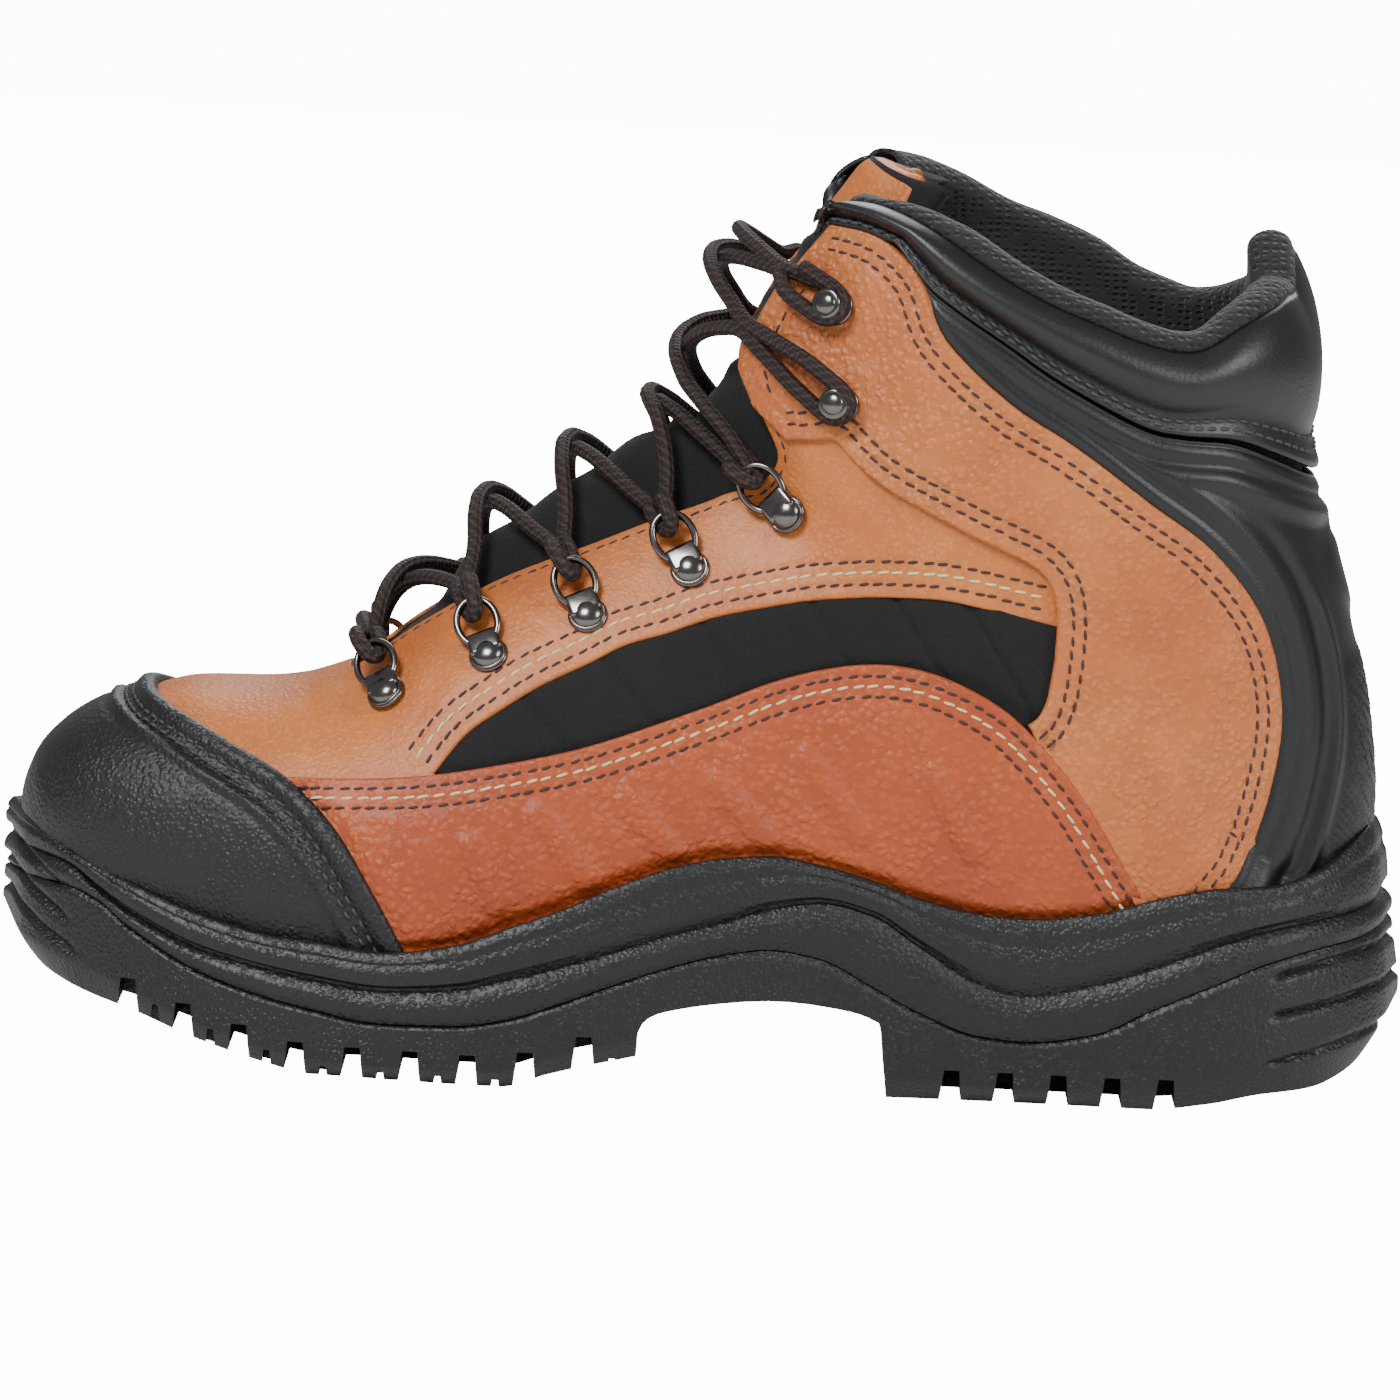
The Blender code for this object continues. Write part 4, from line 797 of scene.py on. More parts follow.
def vampEdges():
    lower = windowLine[windowLine[:, 0] <= findPlace(0.078, 0.104)[0]]
    rim = rimLine[rimLine[:, 1] > 0.5] - np.array([[0.35, 0]])
    rim[0, 1] = 1.0
    throat = throatEdge(7.1, 17.4, 110)
    start = findPlace(-0.0598, 0.0655)
    lowFront = between(foxingLine, 0, start[0]) - np.array([[0.0, 0.04]])
    lowFront = lowFront[lowFront[:, 0] > rim[-1][0]]
    backSeam = ((80, 103.6), (84, 120), (60, 132), (36, 141), (24, 152), (14, 160))
    back = np.array([findPlace(x * mm, z * mm) for x, z in backSeam])
    return [("free", np.vstack([[(7.1, 1.0)], throat])),
            ("free", np.vstack([throat[-1:], back[::-1], lower[-1:]])),
            ("main", lower[::-1]),
            ("free", np.vstack([lower[:1], lowFront[::-1], rim[::-1]])),
            ("centre", stretch((rim[0][0], 1.0), (7.1, 1.0)))]


vampPiece = makePanel("vampEyestay", vampLeather, {side: vampEdges() for side in (-1, 1)},
                      vamp["base"], vamp["thick"], relief=vampRelief, roundness=0.0008, spacing=0.0012)
keep(vampPiece, "full_grain_leather", "upper")

# Foxing: redder leather along the sole, with slanted bars pressed up from below
foxing = {"base": 0.0001, "thick": 0.0017, "dip": 0.00028, "barWidth": 2.3, "barRise": 0.9, "tuck": 0.0009,
          "sunkAbove": 0.0012, "sunkDepth": 0.0015}
barEnds = (((-51.1, 52.3), (-44.7, 40.5)), ((-36.6, 59.6), (-23.6, 44.0)), ((-17.4, 63.8), (-6.6, 51.6)),
           ((1.5, 68.5), (13.4, 56.5)), ((21.2, 74.2), (33.6, 58.3)), ((49.0, 71.5), (58.6, 55.5)))

rimSpots = np.vstack([formPlace(rimLine[:, 0], rimLine[:, 1], side) for side in (-1, 1)])


def foxingRelief(spots, mainGap, edgeGap, place):
    lift = -foxing["dip"] * sum(bell(mainGap, distance, 0.0007) for distance in (0.0026, 0.0048, 0.0071))
    lift = lift - foxing["tuck"] * np.exp(-(nearest(spots, rimSpots) / 0.0018) ** 2)
    for (x0, z0), (x1, z1) in barEnds:
        way = np.array([x1 - x0, z1 - z0])
        reach = (spots[:, 0] / mm - x0) * way[0] + (spots[:, 2] / mm - z0) * way[1]
        share = np.clip(reach / (way @ way), 0, 1)
        gap = np.hypot(spots[:, 0] / mm - x0 - share * way[0], spots[:, 2] / mm - z0 - share * way[1])
        body = 1 / (1 + np.exp((gap - foxing["barWidth"]) / 0.62))
        moat = np.exp(-((gap - foxing["barWidth"] - 2.0) / 1.3) ** 2)
        lift = lift + mm * (foxing["barRise"] * body - 0.28 * moat)
    along = spots[:, 0] / boot["length"] + 0.5
    rim = readSole("rim", along) * boot["heelHeight"]
    sunk = 1 / (1 + np.exp((spots[:, 2] - rim - foxing["sunkAbove"]) / 0.0005))
    return lift * (1 - sunk) - sunk * foxing["sunkDepth"]


def foxingEdges():
    rim = rimLine[rimLine[:, 1] < foxingLine[0][1] + 0.01] - np.array([[0.22, 0]])
    top = foxingLine[foxingLine[:, 0] > rim[0][0]]
    top = top[top[:, 1] > 0.03]
    return [("free", np.vstack([rim[:1], top[:1]])),
            ("main", np.vstack([top, [(top[-1][0] + 0.05, 0.03)]])),
            ("free", stretch((top[-1][0] + 0.05, 0.03), (rim[-1][0], 0.03))),
            ("free", rim[::-1])]


for side, word in ((-1, "lateral"), (1, "medial")):
    foxingPiece = makePanel(f"foxing_{word}Leather", foxingLeather, {side: foxingEdges()}, foxing["base"],
                            foxing["thick"], relief=foxingRelief, roundness=0.0009, spacing=0.0012)
    keep(foxingPiece, "foxing_leather", f"foxing_{word}")

# Ankle panel
ankle = {"base": 0.0002, "thick": 0.0019, "dip": 0.00028, "tuck": 0.0011,
         "creases": ((38, 150, 26, 0.28, 1.1, 2.4), (52, 140, 24, 0.25, 1.25, 2.2),
                     (30, 162, 20, 0.20, 1.3, 2.2), (96, 100, 22, 0.22, 0.9, 2.6),
                     (84, 88, 18, 0.22, 1.3, 2.4), (104, 84, 18, 0.20, 0.6, 2.2))}

foxingSpots = np.vstack([formPlace(foxingLine[:, 0], foxingLine[:, 1], side) for side in (-1, 1)])


def ankleRelief(spots, mainGap, edgeGap, place):
    lift = -ankle["dip"] * (bell(mainGap, 0.0036, 0.0007) + bell(mainGap, 0.0062, 0.0007))
    tuck = nearest(spots, foxingSpots)
    lift = lift - ankle["tuck"] * np.exp(-(tuck / 0.0026) ** 2) * (place[:, 1] < frontLine[-1][1] - 0.015)
    return lift - creased(spots, ankle["creases"])


def ankleEdges():
    foxingBack = sideSeam(foxingTop, low=70.5) - np.array([[0.12, 0.010]])
    foxingBack = foxingBack[foxingBack[:, 1] > 0.03]
    rear = rearLine[rearLine[:, 1] > 0.03]
    throat = throatEdge(14.0, 22.5, 120)
    front = frontLine[frontLine[:, 1] < np.interp(frontLine[:, 0], throat[:, 0], throat[:, 1]) - 0.004]
    front = front[front[:, 0] > 13]
    rear = rear[rear[:, 1] < np.interp(rear[:, 0], throat[:, 0], throat[:, 1]) - 0.004]
    throat = throat[(throat[:, 0] >= front[0][0]) & (throat[:, 0] <= rear[0][0])]
    return [("main", front), ("free", np.vstack([front[-1:], foxingBack, [(rear[-1][0], 0.03)]])),
            ("main", rear[::-1]),
            ("main", np.vstack([rear[:1], throat[::-1], front[:1]]))]


for side, word in ((-1, "lateral"), (1, "medial")):
    anklePiece = makePanel(f"ankle_{word}Leather", pebbleLeather, {side: ankleEdges()}, ankle["base"],
                           ankle["thick"], relief=ankleRelief, roundness=0.0010, spacing=0.0012)
    keep(anklePiece, "full_grain_leather", f"ankle_panel_{word}")

# Toe cap: moulded, with a smooth border band and a channel for two rows of stitches
cap = {"base": 0.0003, "thick": 0.0020, "bandHigh": 0.85, "bandAt": 2.6, "channelDeep": 0.75,
       "channelFrom": 4.4, "channelTo": 8.0, "ridgeHigh": 0.80, "ridgeAt": 9.4, "stitchDown": 0.00062}


def capRelief(spots, mainGap, edgeGap, place):
    gap = mainGap / mm
    band = cap["bandHigh"] * np.exp(-((gap - cap["bandAt"]) / 1.7) ** 2)
    channel = (-cap["channelDeep"] / (1 + np.exp(-(gap - cap["channelFrom"]) / 0.3))
               / (1 + np.exp((gap - cap["channelTo"]) / 0.3)))
    ridge = (cap["ridgeHigh"] * np.exp(-((gap - cap["ridgeAt"]) / 0.8) ** 2)
             - 0.25 * np.exp(-((gap - 11.2) / 0.9) ** 2))
    return mm * (band + channel + ridge)


def capEdges():
    rim = rimLine
    return [("main", rim), ("free", stretch((rim[-1][0], 0.02), (0.05, 0.02))),
            ("free", stretch((0.05, 0.02), (0.05, 1.0))),
            ("centre", stretch((0.05, 1.0), (rim[0][0], 1.0)))]


capPiece = makePanel("toeCapMoulding", capRubber, {side: capEdges() for side in (-1, 1)}, cap["base"],
                     cap["thick"], relief=capRelief, roundness=0.0012, spacing=0.0010)
keep(capPiece, "moulded_rubber", "toe_cap")

# Heel counter: moulded, with a channel and a ridge that follow the ankle panel, and a knurled back
counter = {"base": 0.0003, "thick": 0.0020, "knurlPitch": 2.1, "tuck": 1.3, "ridgeHigh": 0.9,
           "grooveDeep": 0.8, "padHigh": 1.3, "padAt": 119.0, "padHalfTall": 9.5, "padHalfWide": 13.0,
           "knurlTop": 101, "foldAt": 128}


def counterRelief(spots, mainGap, edgeGap, place):
    gap = mainGap / mm
    x, y, z = spots[:, 0] / mm, spots[:, 1] / mm, spots[:, 2] / mm
    low = 1 / (1 + np.exp((z - counter["foldAt"]) / 3.0))
    high = 1 - low
    lift = counter["ridgeHigh"] * np.exp(-((gap - 8.5) / 2.0) ** 2) * (0.45 + 0.55 * high)
    lift -= counter["grooveDeep"] * np.exp(-((gap - 5.0) / 1.3) ** 2) * (0.3 + 0.7 * high)
    lift -= 0.9 * np.exp(-((gap - 12.8) / 1.8) ** 2) * low
    lift += 1.0 * np.exp(-((gap - 16.4) / 1.6) ** 2) * low / (1 + np.exp((z - 112) / 3.0))
    around = np.hypot((z - counter["padAt"]) / counter["padHalfTall"], y / counter["padHalfWide"])
    back = 1 / (1 + np.exp(-(x - 118) / 1.5))
    lift += counter["padHigh"] * back / (1 + np.exp((around - 1) / 0.10))
    inKnurl = (back / (1 + np.exp((z - counter["knurlTop"] + 0.012 * y * y) / 0.8))
               / (1 + np.exp(-(gap - 19.5) / 0.6)))
    arc = y * 1.12
    pitch = counter["knurlPitch"]
    weave = np.cos((arc + z) * math.tau / (2 * pitch)) * np.cos((arc - z) * math.tau / (2 * pitch))
    lift += inKnurl * (0.35 + 0.42 * np.abs(weave))
    return mm * (lift - counter["tuck"] * np.exp(-(gap / 1.9) ** 2))


def counterEdges():
    front = rearLine[rearLine[:, 1] > 0.02]
    front = front[front[:, 0] < 24]
    front = front[np.argmax(front[:, 1] < 0.62):] + np.array([[-0.10, 0.008]])
    seam = collarSeamLine - np.array([[0.06, 0.0]])
    seam = seam[seam[:, 1] < front[0][1]]
    seam = seam[seam[:, 1] > 0.012]
    return [("main", np.vstack([front[::-1], seam, [(seam[-1][0], 0.0)]])),
            ("centre", stretch((seam[-1][0], 0.0), (17.0, 0.0))),
            ("free", stretch((17.0, 0.0), (front[-1][0], 0.02)))]


counterPiece = makePanel("heelCounterMoulding", counterRubber, {side: counterEdges() for side in (-1, 1)},
                         counter["base"], counter["thick"], relief=counterRelief, spacing=0.00075)
keep(counterPiece, "moulded_rubber", "heel_counter")
print("panels ready")


# Grids: a loft given as rows of points, each row a closed or open line
def gridFaces(rows, columns, closed, flip=False):
    faces = []
    for row in range(rows - 1):
        for column in range(columns if closed else columns - 1):
            after = (column + 1) % columns
            face = (row * columns + column, row * columns + after,
                    (row + 1) * columns + after, (row + 1) * columns + column)
            faces.append(tuple(reversed(face)) if flip else face)
    return faces


def loftPiece(name, grid, material, flip=False):
    # A closed tube through rings of points, with its two ends filled
    rows, columns = grid.shape[:2]
    faces = gridFaces(rows, columns, True, flip)
    ends = [tuple(range(columns))[::-1], tuple(range((rows - 1) * columns, rows * columns))]
    faces += [tuple(reversed(end)) for end in ends] if flip else ends
    return meshPiece(name, grid.reshape(-1, 3), faces, material)


# Collar: coated leather over foam, and a mesh lining that rolls over its top edge
collar = {"swell": 0.0036, "roll": 0.0042, "depth": 0.9, "flat": 0.0085, "pinch": 0.0009,
          "puff": 0.0016, "leather": 0.0012, "lining": 0.0010, "stitchPitch": 0.0031}


def collarStations(side):
    seam = smoothLine(collarSeam)
    top = smoothLine(collarTopSides[side])
    front = np.array([(13.0, 189.6), (20.0, 189.9), (28.0, 189.7)])
    seam = np.vstack([front, seam[seam[:, 0] > 33]])
    seamPlace = placesOf(seam)
    topPlace = placesOf(top[top[:, 0] > 13])
    seamPlace = np.vstack([seamPlace[seamPlace[:, 1] > 0.012], [(seamPlace[-1][0], 0.0)]])
    topPlace = np.vstack([topPlace[topPlace[:, 1] > 0.012], [(topPlace[-1][0], 0.0)]])
    gap = turnAcross(seamPlace[:1, 0], readForm("gap", seamPlace[:1, 0]) * boot["ballWidth"])[0]
    seamPlace[0, 1] = min(seamPlace[0, 1], gap)
    topPlace = topPlace[topPlace[:, 1] < gap]
    seamRun = runLength(formPlace(seamPlace[:, 0], seamPlace[:, 1], side))
    topRun = runLength(formPlace(topPlace[:, 0], topPlace[:, 1], side))
    share = np.linspace(0, 1, 90)
    places = []
    for place, run in ((seamPlace, seamRun), (topPlace, topRun)):
        at = share * run[-1]
        places.append(np.column_stack([np.interp(at, run, place[:, 0]), np.interp(at, run, place[:, 1])]))
    return places


def collarHalf(side):
    seam, top = collarStations(side)
    outer = []
    topSpot = lifted(top, side, np.zeros(len(top)))
    height = np.linalg.norm(topSpot - lifted(seam, side, np.zeros(len(seam))), axis=1)
    flat = np.minimum(0.26, collar["flat"] / height)
    for up in np.linspace(0, 1, 26):
        place = seam + (top - seam) * up
        share = np.clip((up - flat) / (1 - flat), 0, 1)
        pinch = collar["pinch"] * np.exp(-((up - 0.62 * flat) / (0.45 * flat)) ** 2)
        swell = collar["swell"] * np.maximum(np.sin(math.pi * share), 0) ** 0.8
        outer.append(lifted(place, side, 0.0031 - 0.0012 * up ** 2 - pinch + swell))
    normal = formNormal(top[:, 0], top[:, 1], side)
    upward = unit(topSpot - lifted(seam, side, np.zeros(len(seam))))
    inner = []
    middle = -0.5 * boot["collarIn"] + 0.0010
    across = 0.5 * boot["collarIn"] + 0.0009
    for step in range(13):
        angle = math.pi * step / 12
        rolled = topSpot + normal * (middle + across * math.cos(angle))
        inner.append(rolled + upward * collar["roll"] * math.sin(angle))
    for down in np.linspace(0.04, collar["depth"], 18):
        place = top + (seam - top) * down
        puffed = boot["collarIn"] - collar["puff"] * math.sin(math.pi * down / collar["depth"])
        inner.append(lifted(place, side, np.full(len(place), -puffed)))
    return np.array(outer), np.array(inner)


def collarBody():
    halves = {side: collarHalf(side) for side in (-1, 1)}
    both = []
    for kind in (0, 1):
        near = halves[-1][kind].transpose(1, 0, 2)
        far = halves[1][kind].transpose(1, 0, 2)[::-1]
        middle = (near[-1] + far[0]) / 2
        near[-1] = middle
        far[0] = middle
        both.append(np.concatenate([near, far[1:]], axis=0))
    return both


outerGrid, innerGrid = collarBody()


def skin(name, grid, material, thickness, flip=False):
    # A sheet of the given thickness from a grid of points
    rows, columns = grid.shape[:2]
    piece = meshPiece(name, grid.reshape(-1, 3), gridFaces(rows, columns, False, flip), material)
    wall = piece.modifiers.new("wall", "SOLIDIFY")
    wall.thickness = thickness
    wall.offset = -1
    bpy.context.view_layer.objects.active = piece
    bpy.ops.object.modifier_apply(modifier="wall")
    return piece


bpy.ops.object.select_all(action="DESELECT")
collarPiece = skin("collarLeather", outerGrid, collarLeather, collar["leather"], flip=True)
keep(collarPiece, "padded_leather", "collar")
liningPiece = skin("collarLining", innerGrid, liningMesh, collar["lining"], flip=True)
keep(liningPiece, "padded_leather", "collar")
print("collar ready")


# Tongue: padded suede with a leather top
tongue = {"first": 6.75, "last": 23.3, "leatherFrom": 21.5, "points": 33, "ripple": 0.0006,
          "leatherProud": 0.0009}


def tuckDepth(section):
    under = np.clip((section - 19.6) / 1.2, 0, 1)
    return -boot["wall"] - 4 * boot["gap"] - under * (boot["collarIn"] - boot["wall"])


def tongueLift(section, share):
    # How far the tongue stands out of the last at a share of the throat's half width
    tucked = tuckDepth(section)
    puff = readForm("puff", section) * boot["ballWidth"]
    dome = np.where(np.abs(share) < 1.08, np.cos(np.clip(share / 1.08, -1, 1) * math.pi / 2) ** 2, 0)
    return tucked + (puff - tucked) * dome


def overTongue(section, across, lift):
    # A point at a signed distance across from the crown, moved out by lift
    section, across, lift = np.broadcast_arrays(np.asarray(section, float), np.asarray(across, float), lift)
    turn = turnAcross(section, across)
    spots = np.zeros(section.shape + (3,))
    for side in (-1, 1):
        chosen = (across < 0) if side < 0 else (across >= 0)
        if chosen.any():
            spots[chosen] = (formPlace(section[chosen], turn[chosen], side)
                             + formNormal(section[chosen], turn[chosen], side) * lift[chosen][:, None])
    return spots


def tongueGrid(first, last, count, proud=0.0, thin=1.0, endRound=0.0):
    rows = []
    for section in np.linspace(first, last, count):
        gap = max(float(readForm("gap", section)) * boot["ballWidth"], boot["tongueWing"])
        wing = gap + boot["tongueWing"]
        if endRound:
            nearEnd = max(0, section - last + 1.3) / 1.3
            wing = gap + 0.35 * boot["tongueWing"] - 0.25 * gap * nearEnd ** 3
        across = np.linspace(-wing, wing, tongue["points"])
        lift = tongueLift(section, across / gap)
        lift = lift - (0.0016 * nearEnd ** 2 * (across / wing) ** 2 if endRound else 0)
        ripple = tongue["ripple"] * math.sin(section * 5.2) * np.clip(1 - np.abs(across) / gap, 0, 1)
        lift = lift + ripple * (section < 21) + proud
        thick = boot["tongueThick"] * thin * np.clip((1 - (np.abs(across) / wing) ** 4), 0.35, 1)
        if endRound and section > last - endRound:
            share = (section - last + endRound) / endRound
            ease = math.sqrt(max(0.02, 1 - share ** 2))
            lift = lift - 0.5 * thick * (1 - ease)
            thick = thick * ease
        outer = overTongue(section, across, lift)
        inner = overTongue(section, across, np.minimum(lift, tuckDepth(section) + 0.004 + proud) - thick)
        rows.append(np.concatenate([outer, inner[::-1]]))
    return np.array(rows)


tonguePiece = loftPiece("tongueSuede", tongueGrid(tongue["first"], tongue["last"] - 0.15, 120), blackSuede,
                        flip=True)
keep(tonguePiece, "tongue_suede", "tongue")
tongueTopGrid = tongueGrid(tongue["leatherFrom"], tongue["last"], 40, proud=tongue["leatherProud"],
                           thin=1.12, endRound=0.5)
tongueTop = loftPiece("tongueLeatherTop", tongueTopGrid, vampLeather, flip=True)
keep(tongueTop, "full_grain_leather", "tongue")
print("tongue ready")


# Sole
sole = {"lean": 0.16, "leanStart": 0.85, "leanHeight": 0.8, "endShare": 0.2, "stations": 400,
        "grooveWidth": 0.0038, "groovePitch": 0.0126, "heelPitch": 0.0118, "rib": 0.030,
        "grooveDepth": 0.0055, "ribDeep": 1.5, "ribHalf": 0.9, "footIn": 0.0046, "footShare": 0.30,
        "stepSwell": 0.0011, "rimRoll": 0.0023, "rimLine": 0.0006, "smoothAngle": 38}


def solePoint(along, side, inset, height):
    end = np.clip((np.abs(2 * along - 1) - (1 - sole["endShare"])) / sole["endShare"], 0, 1) ** 2
    toward = np.where(along > 0.5, 1, -1)
    lean = np.clip((along - sole["leanStart"]) / (1 - sole["leanStart"]), 0, 1) * sole["lean"]
    inset = inset + lean * np.maximum(0, height - sole["leanHeight"] * boot["heelHeight"])
    half = readSole("half", along) * boot["ballWidth"]
    across = np.maximum(0, half - np.minimum(inset * np.sqrt(1 - end * end), half * 0.9))
    x = (along - 0.5) * boot["length"] - toward * inset * end
    y = readSole("shift", along) * boot["ballWidth"] + boot["middleShift"] + side * across
    return np.stack([x, y, height], axis=-1)


# Side ribs of toe and heel, as seen from the side in millimetres
ribLines = (((-154.6, 44.7), (-148.7, 41.0), (-141.8, 36.0)),
            ((-154.3, 38.7), (-147.2, 33.5), (-139.9, 29.0)),
            ((-154.0, 32.2), (-145.8, 26.2), (-137.9, 22.1)),
            ((126.7, 30.9), (138.8, 34.2), (158.0, 38.6)),
            ((126.5, 22.2), (139.3, 25.1), (158.0, 30.2)),
            ((125.6, 11.3), (139.9, 15.2), (158.0, 21.2)))


def ribDepth(x, z):
    depth = np.zeros_like(x)
    for line in ribLines:
        line = np.array(line)
        xs, zs = line[:, 0], line[:, 1]
        height = np.interp(x / mm, xs, zs)
        reach = (1 / (1 + np.exp(-(x / mm - xs[0] + (0 if xs[0] > 0 else 20)) / 0.6))
                 / (1 + np.exp((x / mm - xs[-1] - (0 if xs[0] < 0 else 20)) / 0.6)))
        depth += sole["ribDeep"] * mm * reach * np.exp(-((z / mm - height) / sole["ribHalf"]) ** 2)
    return depth


def soleStations(count):
    # Stations, closer together at the two ends
    turn = np.linspace(0, math.pi, count)
    even = np.linspace(0, 1, count)
    return 0.55 * (1 - np.cos(turn)) / 2 + 0.45 * even


def soleGrid(profile, count):
    along = soleStations(count)
    halves = []
    for side in (1, -1):
        columns = []
        for inset, height, ribbed in profile(along):
            inset = np.broadcast_to(inset, along.shape)
            spot = solePoint(along, side, inset, height)
            if ribbed:
                spot = solePoint(along, side, inset + ribDepth(spot[:, 0], spot[:, 2]), height)
            columns.append(spot)
        halves.append(np.stack(columns, axis=1))
    return np.concatenate([halves[0], halves[1][:, ::-1]], axis=1)


def outsoleProfile(along):
    tread = readSole("tread", along) * boot["heelHeight"]
    inside = readSole("inside", along) * boot["heelHeight"]
    parting = readSole("parting", along) * boot["heelHeight"]
    rows = []
    for share in np.linspace(0, 1, 46):
        foot = sole["footIn"] * (1 - min(1, share / sole["footShare"])) ** 1.4
        inset = 0.0004 + foot + 0.0003 * share
        inset += 0.0008 * max(0, (share - 0.93) / 0.07) ** 2
        rows.append((inset, tread + share * (parting - tread), True))
    rows.append((0.0030, parting, False))
    rows.append((0.0060, inside, False))
    return rows


def midsoleProfile(along):
    inside = readSole("inside", along) * boot["heelHeight"] + boot["gap"]
    parting = readSole("parting", along) * boot["heelHeight"] + boot["gap"]
    step = readSole("step", along) * boot["heelHeight"]
    rim = readSole("rim", along) * boot["heelHeight"]
    rows = [(0.0060, inside, False), (0.0034, parting, False)]
    for share in np.linspace(0, 1, 20):
        swell = sole["stepSwell"] * (2 * share - 1) ** 2
        inset = 0.0002 + swell * (1.0 if share < 0.5 else 1.3)
        rows.append((inset, parting + share * (step - parting - 0.0004), True))
    rows.append((0.0022, step - 0.0001, False))
    rows.append((0.0020, step + 0.0006, False))
    for share in np.linspace(0.08, 1, 16):
        angle = share * math.pi / 2
        inset = 0.0008 - 0.0007 * math.sin(min(1, share * 2.4) * math.pi / 2)
        inset += sole["rimRoll"] * (1 - math.cos(angle)) ** 1.2
        line = sole["rimLine"] * np.exp(-((share - 0.42) / 0.05) ** 2)
        rows.append((inset + line, step + (rim - step) * math.sin(angle) ** 0.9, True))
    rows.append((0.0064, rim - 0.0006, False))
    rows.append((0.0085, inside + 0.45 * (rim - inside), False))
    rows.append((0.0100, inside + 0.0025, False))
    return rows


def boxesMesh(name, boxes):
    shape = bmesh.new()
    for centre, size in boxes:
        place = Matrix.Translation(centre) @ Matrix.Diagonal((*size, 1))
        made = bmesh.ops.create_cube(shape, size=1.0, matrix=place)
        for vert in made["verts"]:
            if vert.co.z > centre[2]:
                vert.co.x += (centre[0] - vert.co.x) * 0.45
    mesh = bpy.data.meshes.new(name)
    shape.to_mesh(mesh)
    shape.free()
    piece = bpy.data.objects.new(name, mesh)
    bpy.context.scene.collection.objects.link(piece)
    return piece


def cut(piece, cutter):
    tool = piece.modifiers.new("cut", "BOOLEAN")
    tool.operation = "DIFFERENCE"
    tool.object = cutter
    bpy.context.view_layer.objects.active = piece
    bpy.ops.object.modifier_apply(modifier="cut")
    bpy.data.objects.remove(cutter)


def archCutter():
    outline = smoothLine(((0.4580, -0.100), (0.4595, 0.180), (0.4630, 0.440), (0.4900, 0.540),
                          (0.5500, 0.600), (0.6000, 0.560), (0.6240, 0.500), (0.6300, 0.420),
                          (0.6360, 0.000), (0.6365, -0.100)), 4)
    count = len(outline)
    points = [((along - 0.5) * boot["length"], y, height * boot["heelHeight"])
              for y in (-0.09, 0.09) for along, height in outline]
    faces = [tuple(range(count)), tuple(range(2 * count - 1, count - 1, -1))]
    for index in range(count):
        after = (index + 1) % count
        faces.append((index, index + count, after + count, after))
    cutter = meshPiece("archCutter", np.array(points), faces, soleRubber)
    bpy.ops.object.select_all(action="DESELECT")
    bpy.context.view_layer.objects.active = cutter
    bpy.ops.object.mode_set(mode="EDIT")
    bpy.ops.mesh.select_all(action="SELECT")
    bpy.ops.mesh.normals_make_consistent(inside=False)
    bpy.ops.object.mode_set(mode="OBJECT")
    return cutter


def treadBoxes():
    boxes = []
    zones = ((0.101, 9, sole["groovePitch"]), (0.681, 5, sole["heelPitch"]))
    for start, count, pitch in zones:
        for index in range(count):
            x = (start - 0.5) * boot["length"] + index * pitch
            along = x / boot["length"] + 0.5
            height = float(readSole("tread", np.array(along))) * boot["heelHeight"]
            shift = float(readSole("shift", np.array(along))) * boot["ballWidth"] + boot["middleShift"]
            reach = 0.6 * boot["ballWidth"] - sole["rib"] / 2
            for side in (-1, 1):
                spot = (x, shift + side * (sole["rib"] / 2 + reach / 2), height - 0.0002 * side)
                boxes.append((spot, (sole["grooveWidth"] * 1.6, reach, 2.5 * sole["grooveDepth"])))
                notch = (x + pitch / 2, shift + side * 0.5 * boot["ballWidth"], height)
                boxes.append((notch, (0.0022, 0.030, 0.0040)))
            if index < count - 1:
                boxes.append(((x + pitch / 2, shift, height), (sole["grooveWidth"], 0.72 * sole["rib"],
                                                               2 * sole["grooveDepth"])))
    return boxes


outsolePiece = loftPiece("outsoleMoulding", soleGrid(outsoleProfile, sole["stations"]), soleRubber)
cut(outsolePiece, archCutter())
cut(outsolePiece, boxesMesh("treadCutter", treadBoxes()))
keep(outsolePiece, "sole_rubber", "outsole")
midsolePiece = loftPiece("midsoleMoulding", soleGrid(midsoleProfile, sole["stations"]), soleRubber)
keep(midsolePiece, "sole_rubber", "midsole")
for piece in (outsolePiece, midsolePiece):
    bpy.ops.object.select_all(action="DESELECT")
    piece.select_set(True)
    bpy.context.view_layer.objects.active = piece
    bpy.ops.object.shade_smooth_by_angle(angle=math.radians(sole["smoothAngle"]))
print("sole ready")


# Stitches: each a short six-sided bead whose ends dip into the leather
stitch = {"sides": 6, "tilt": 7.0, "step": 0.0006}
stitchRings = ((-0.5, 0.35, -0.9), (-0.34, 0.9, 0.05), (0.0, 1.0, 0.45), (0.34, 0.9, 0.05), (0.5, 0.35, -0.9))


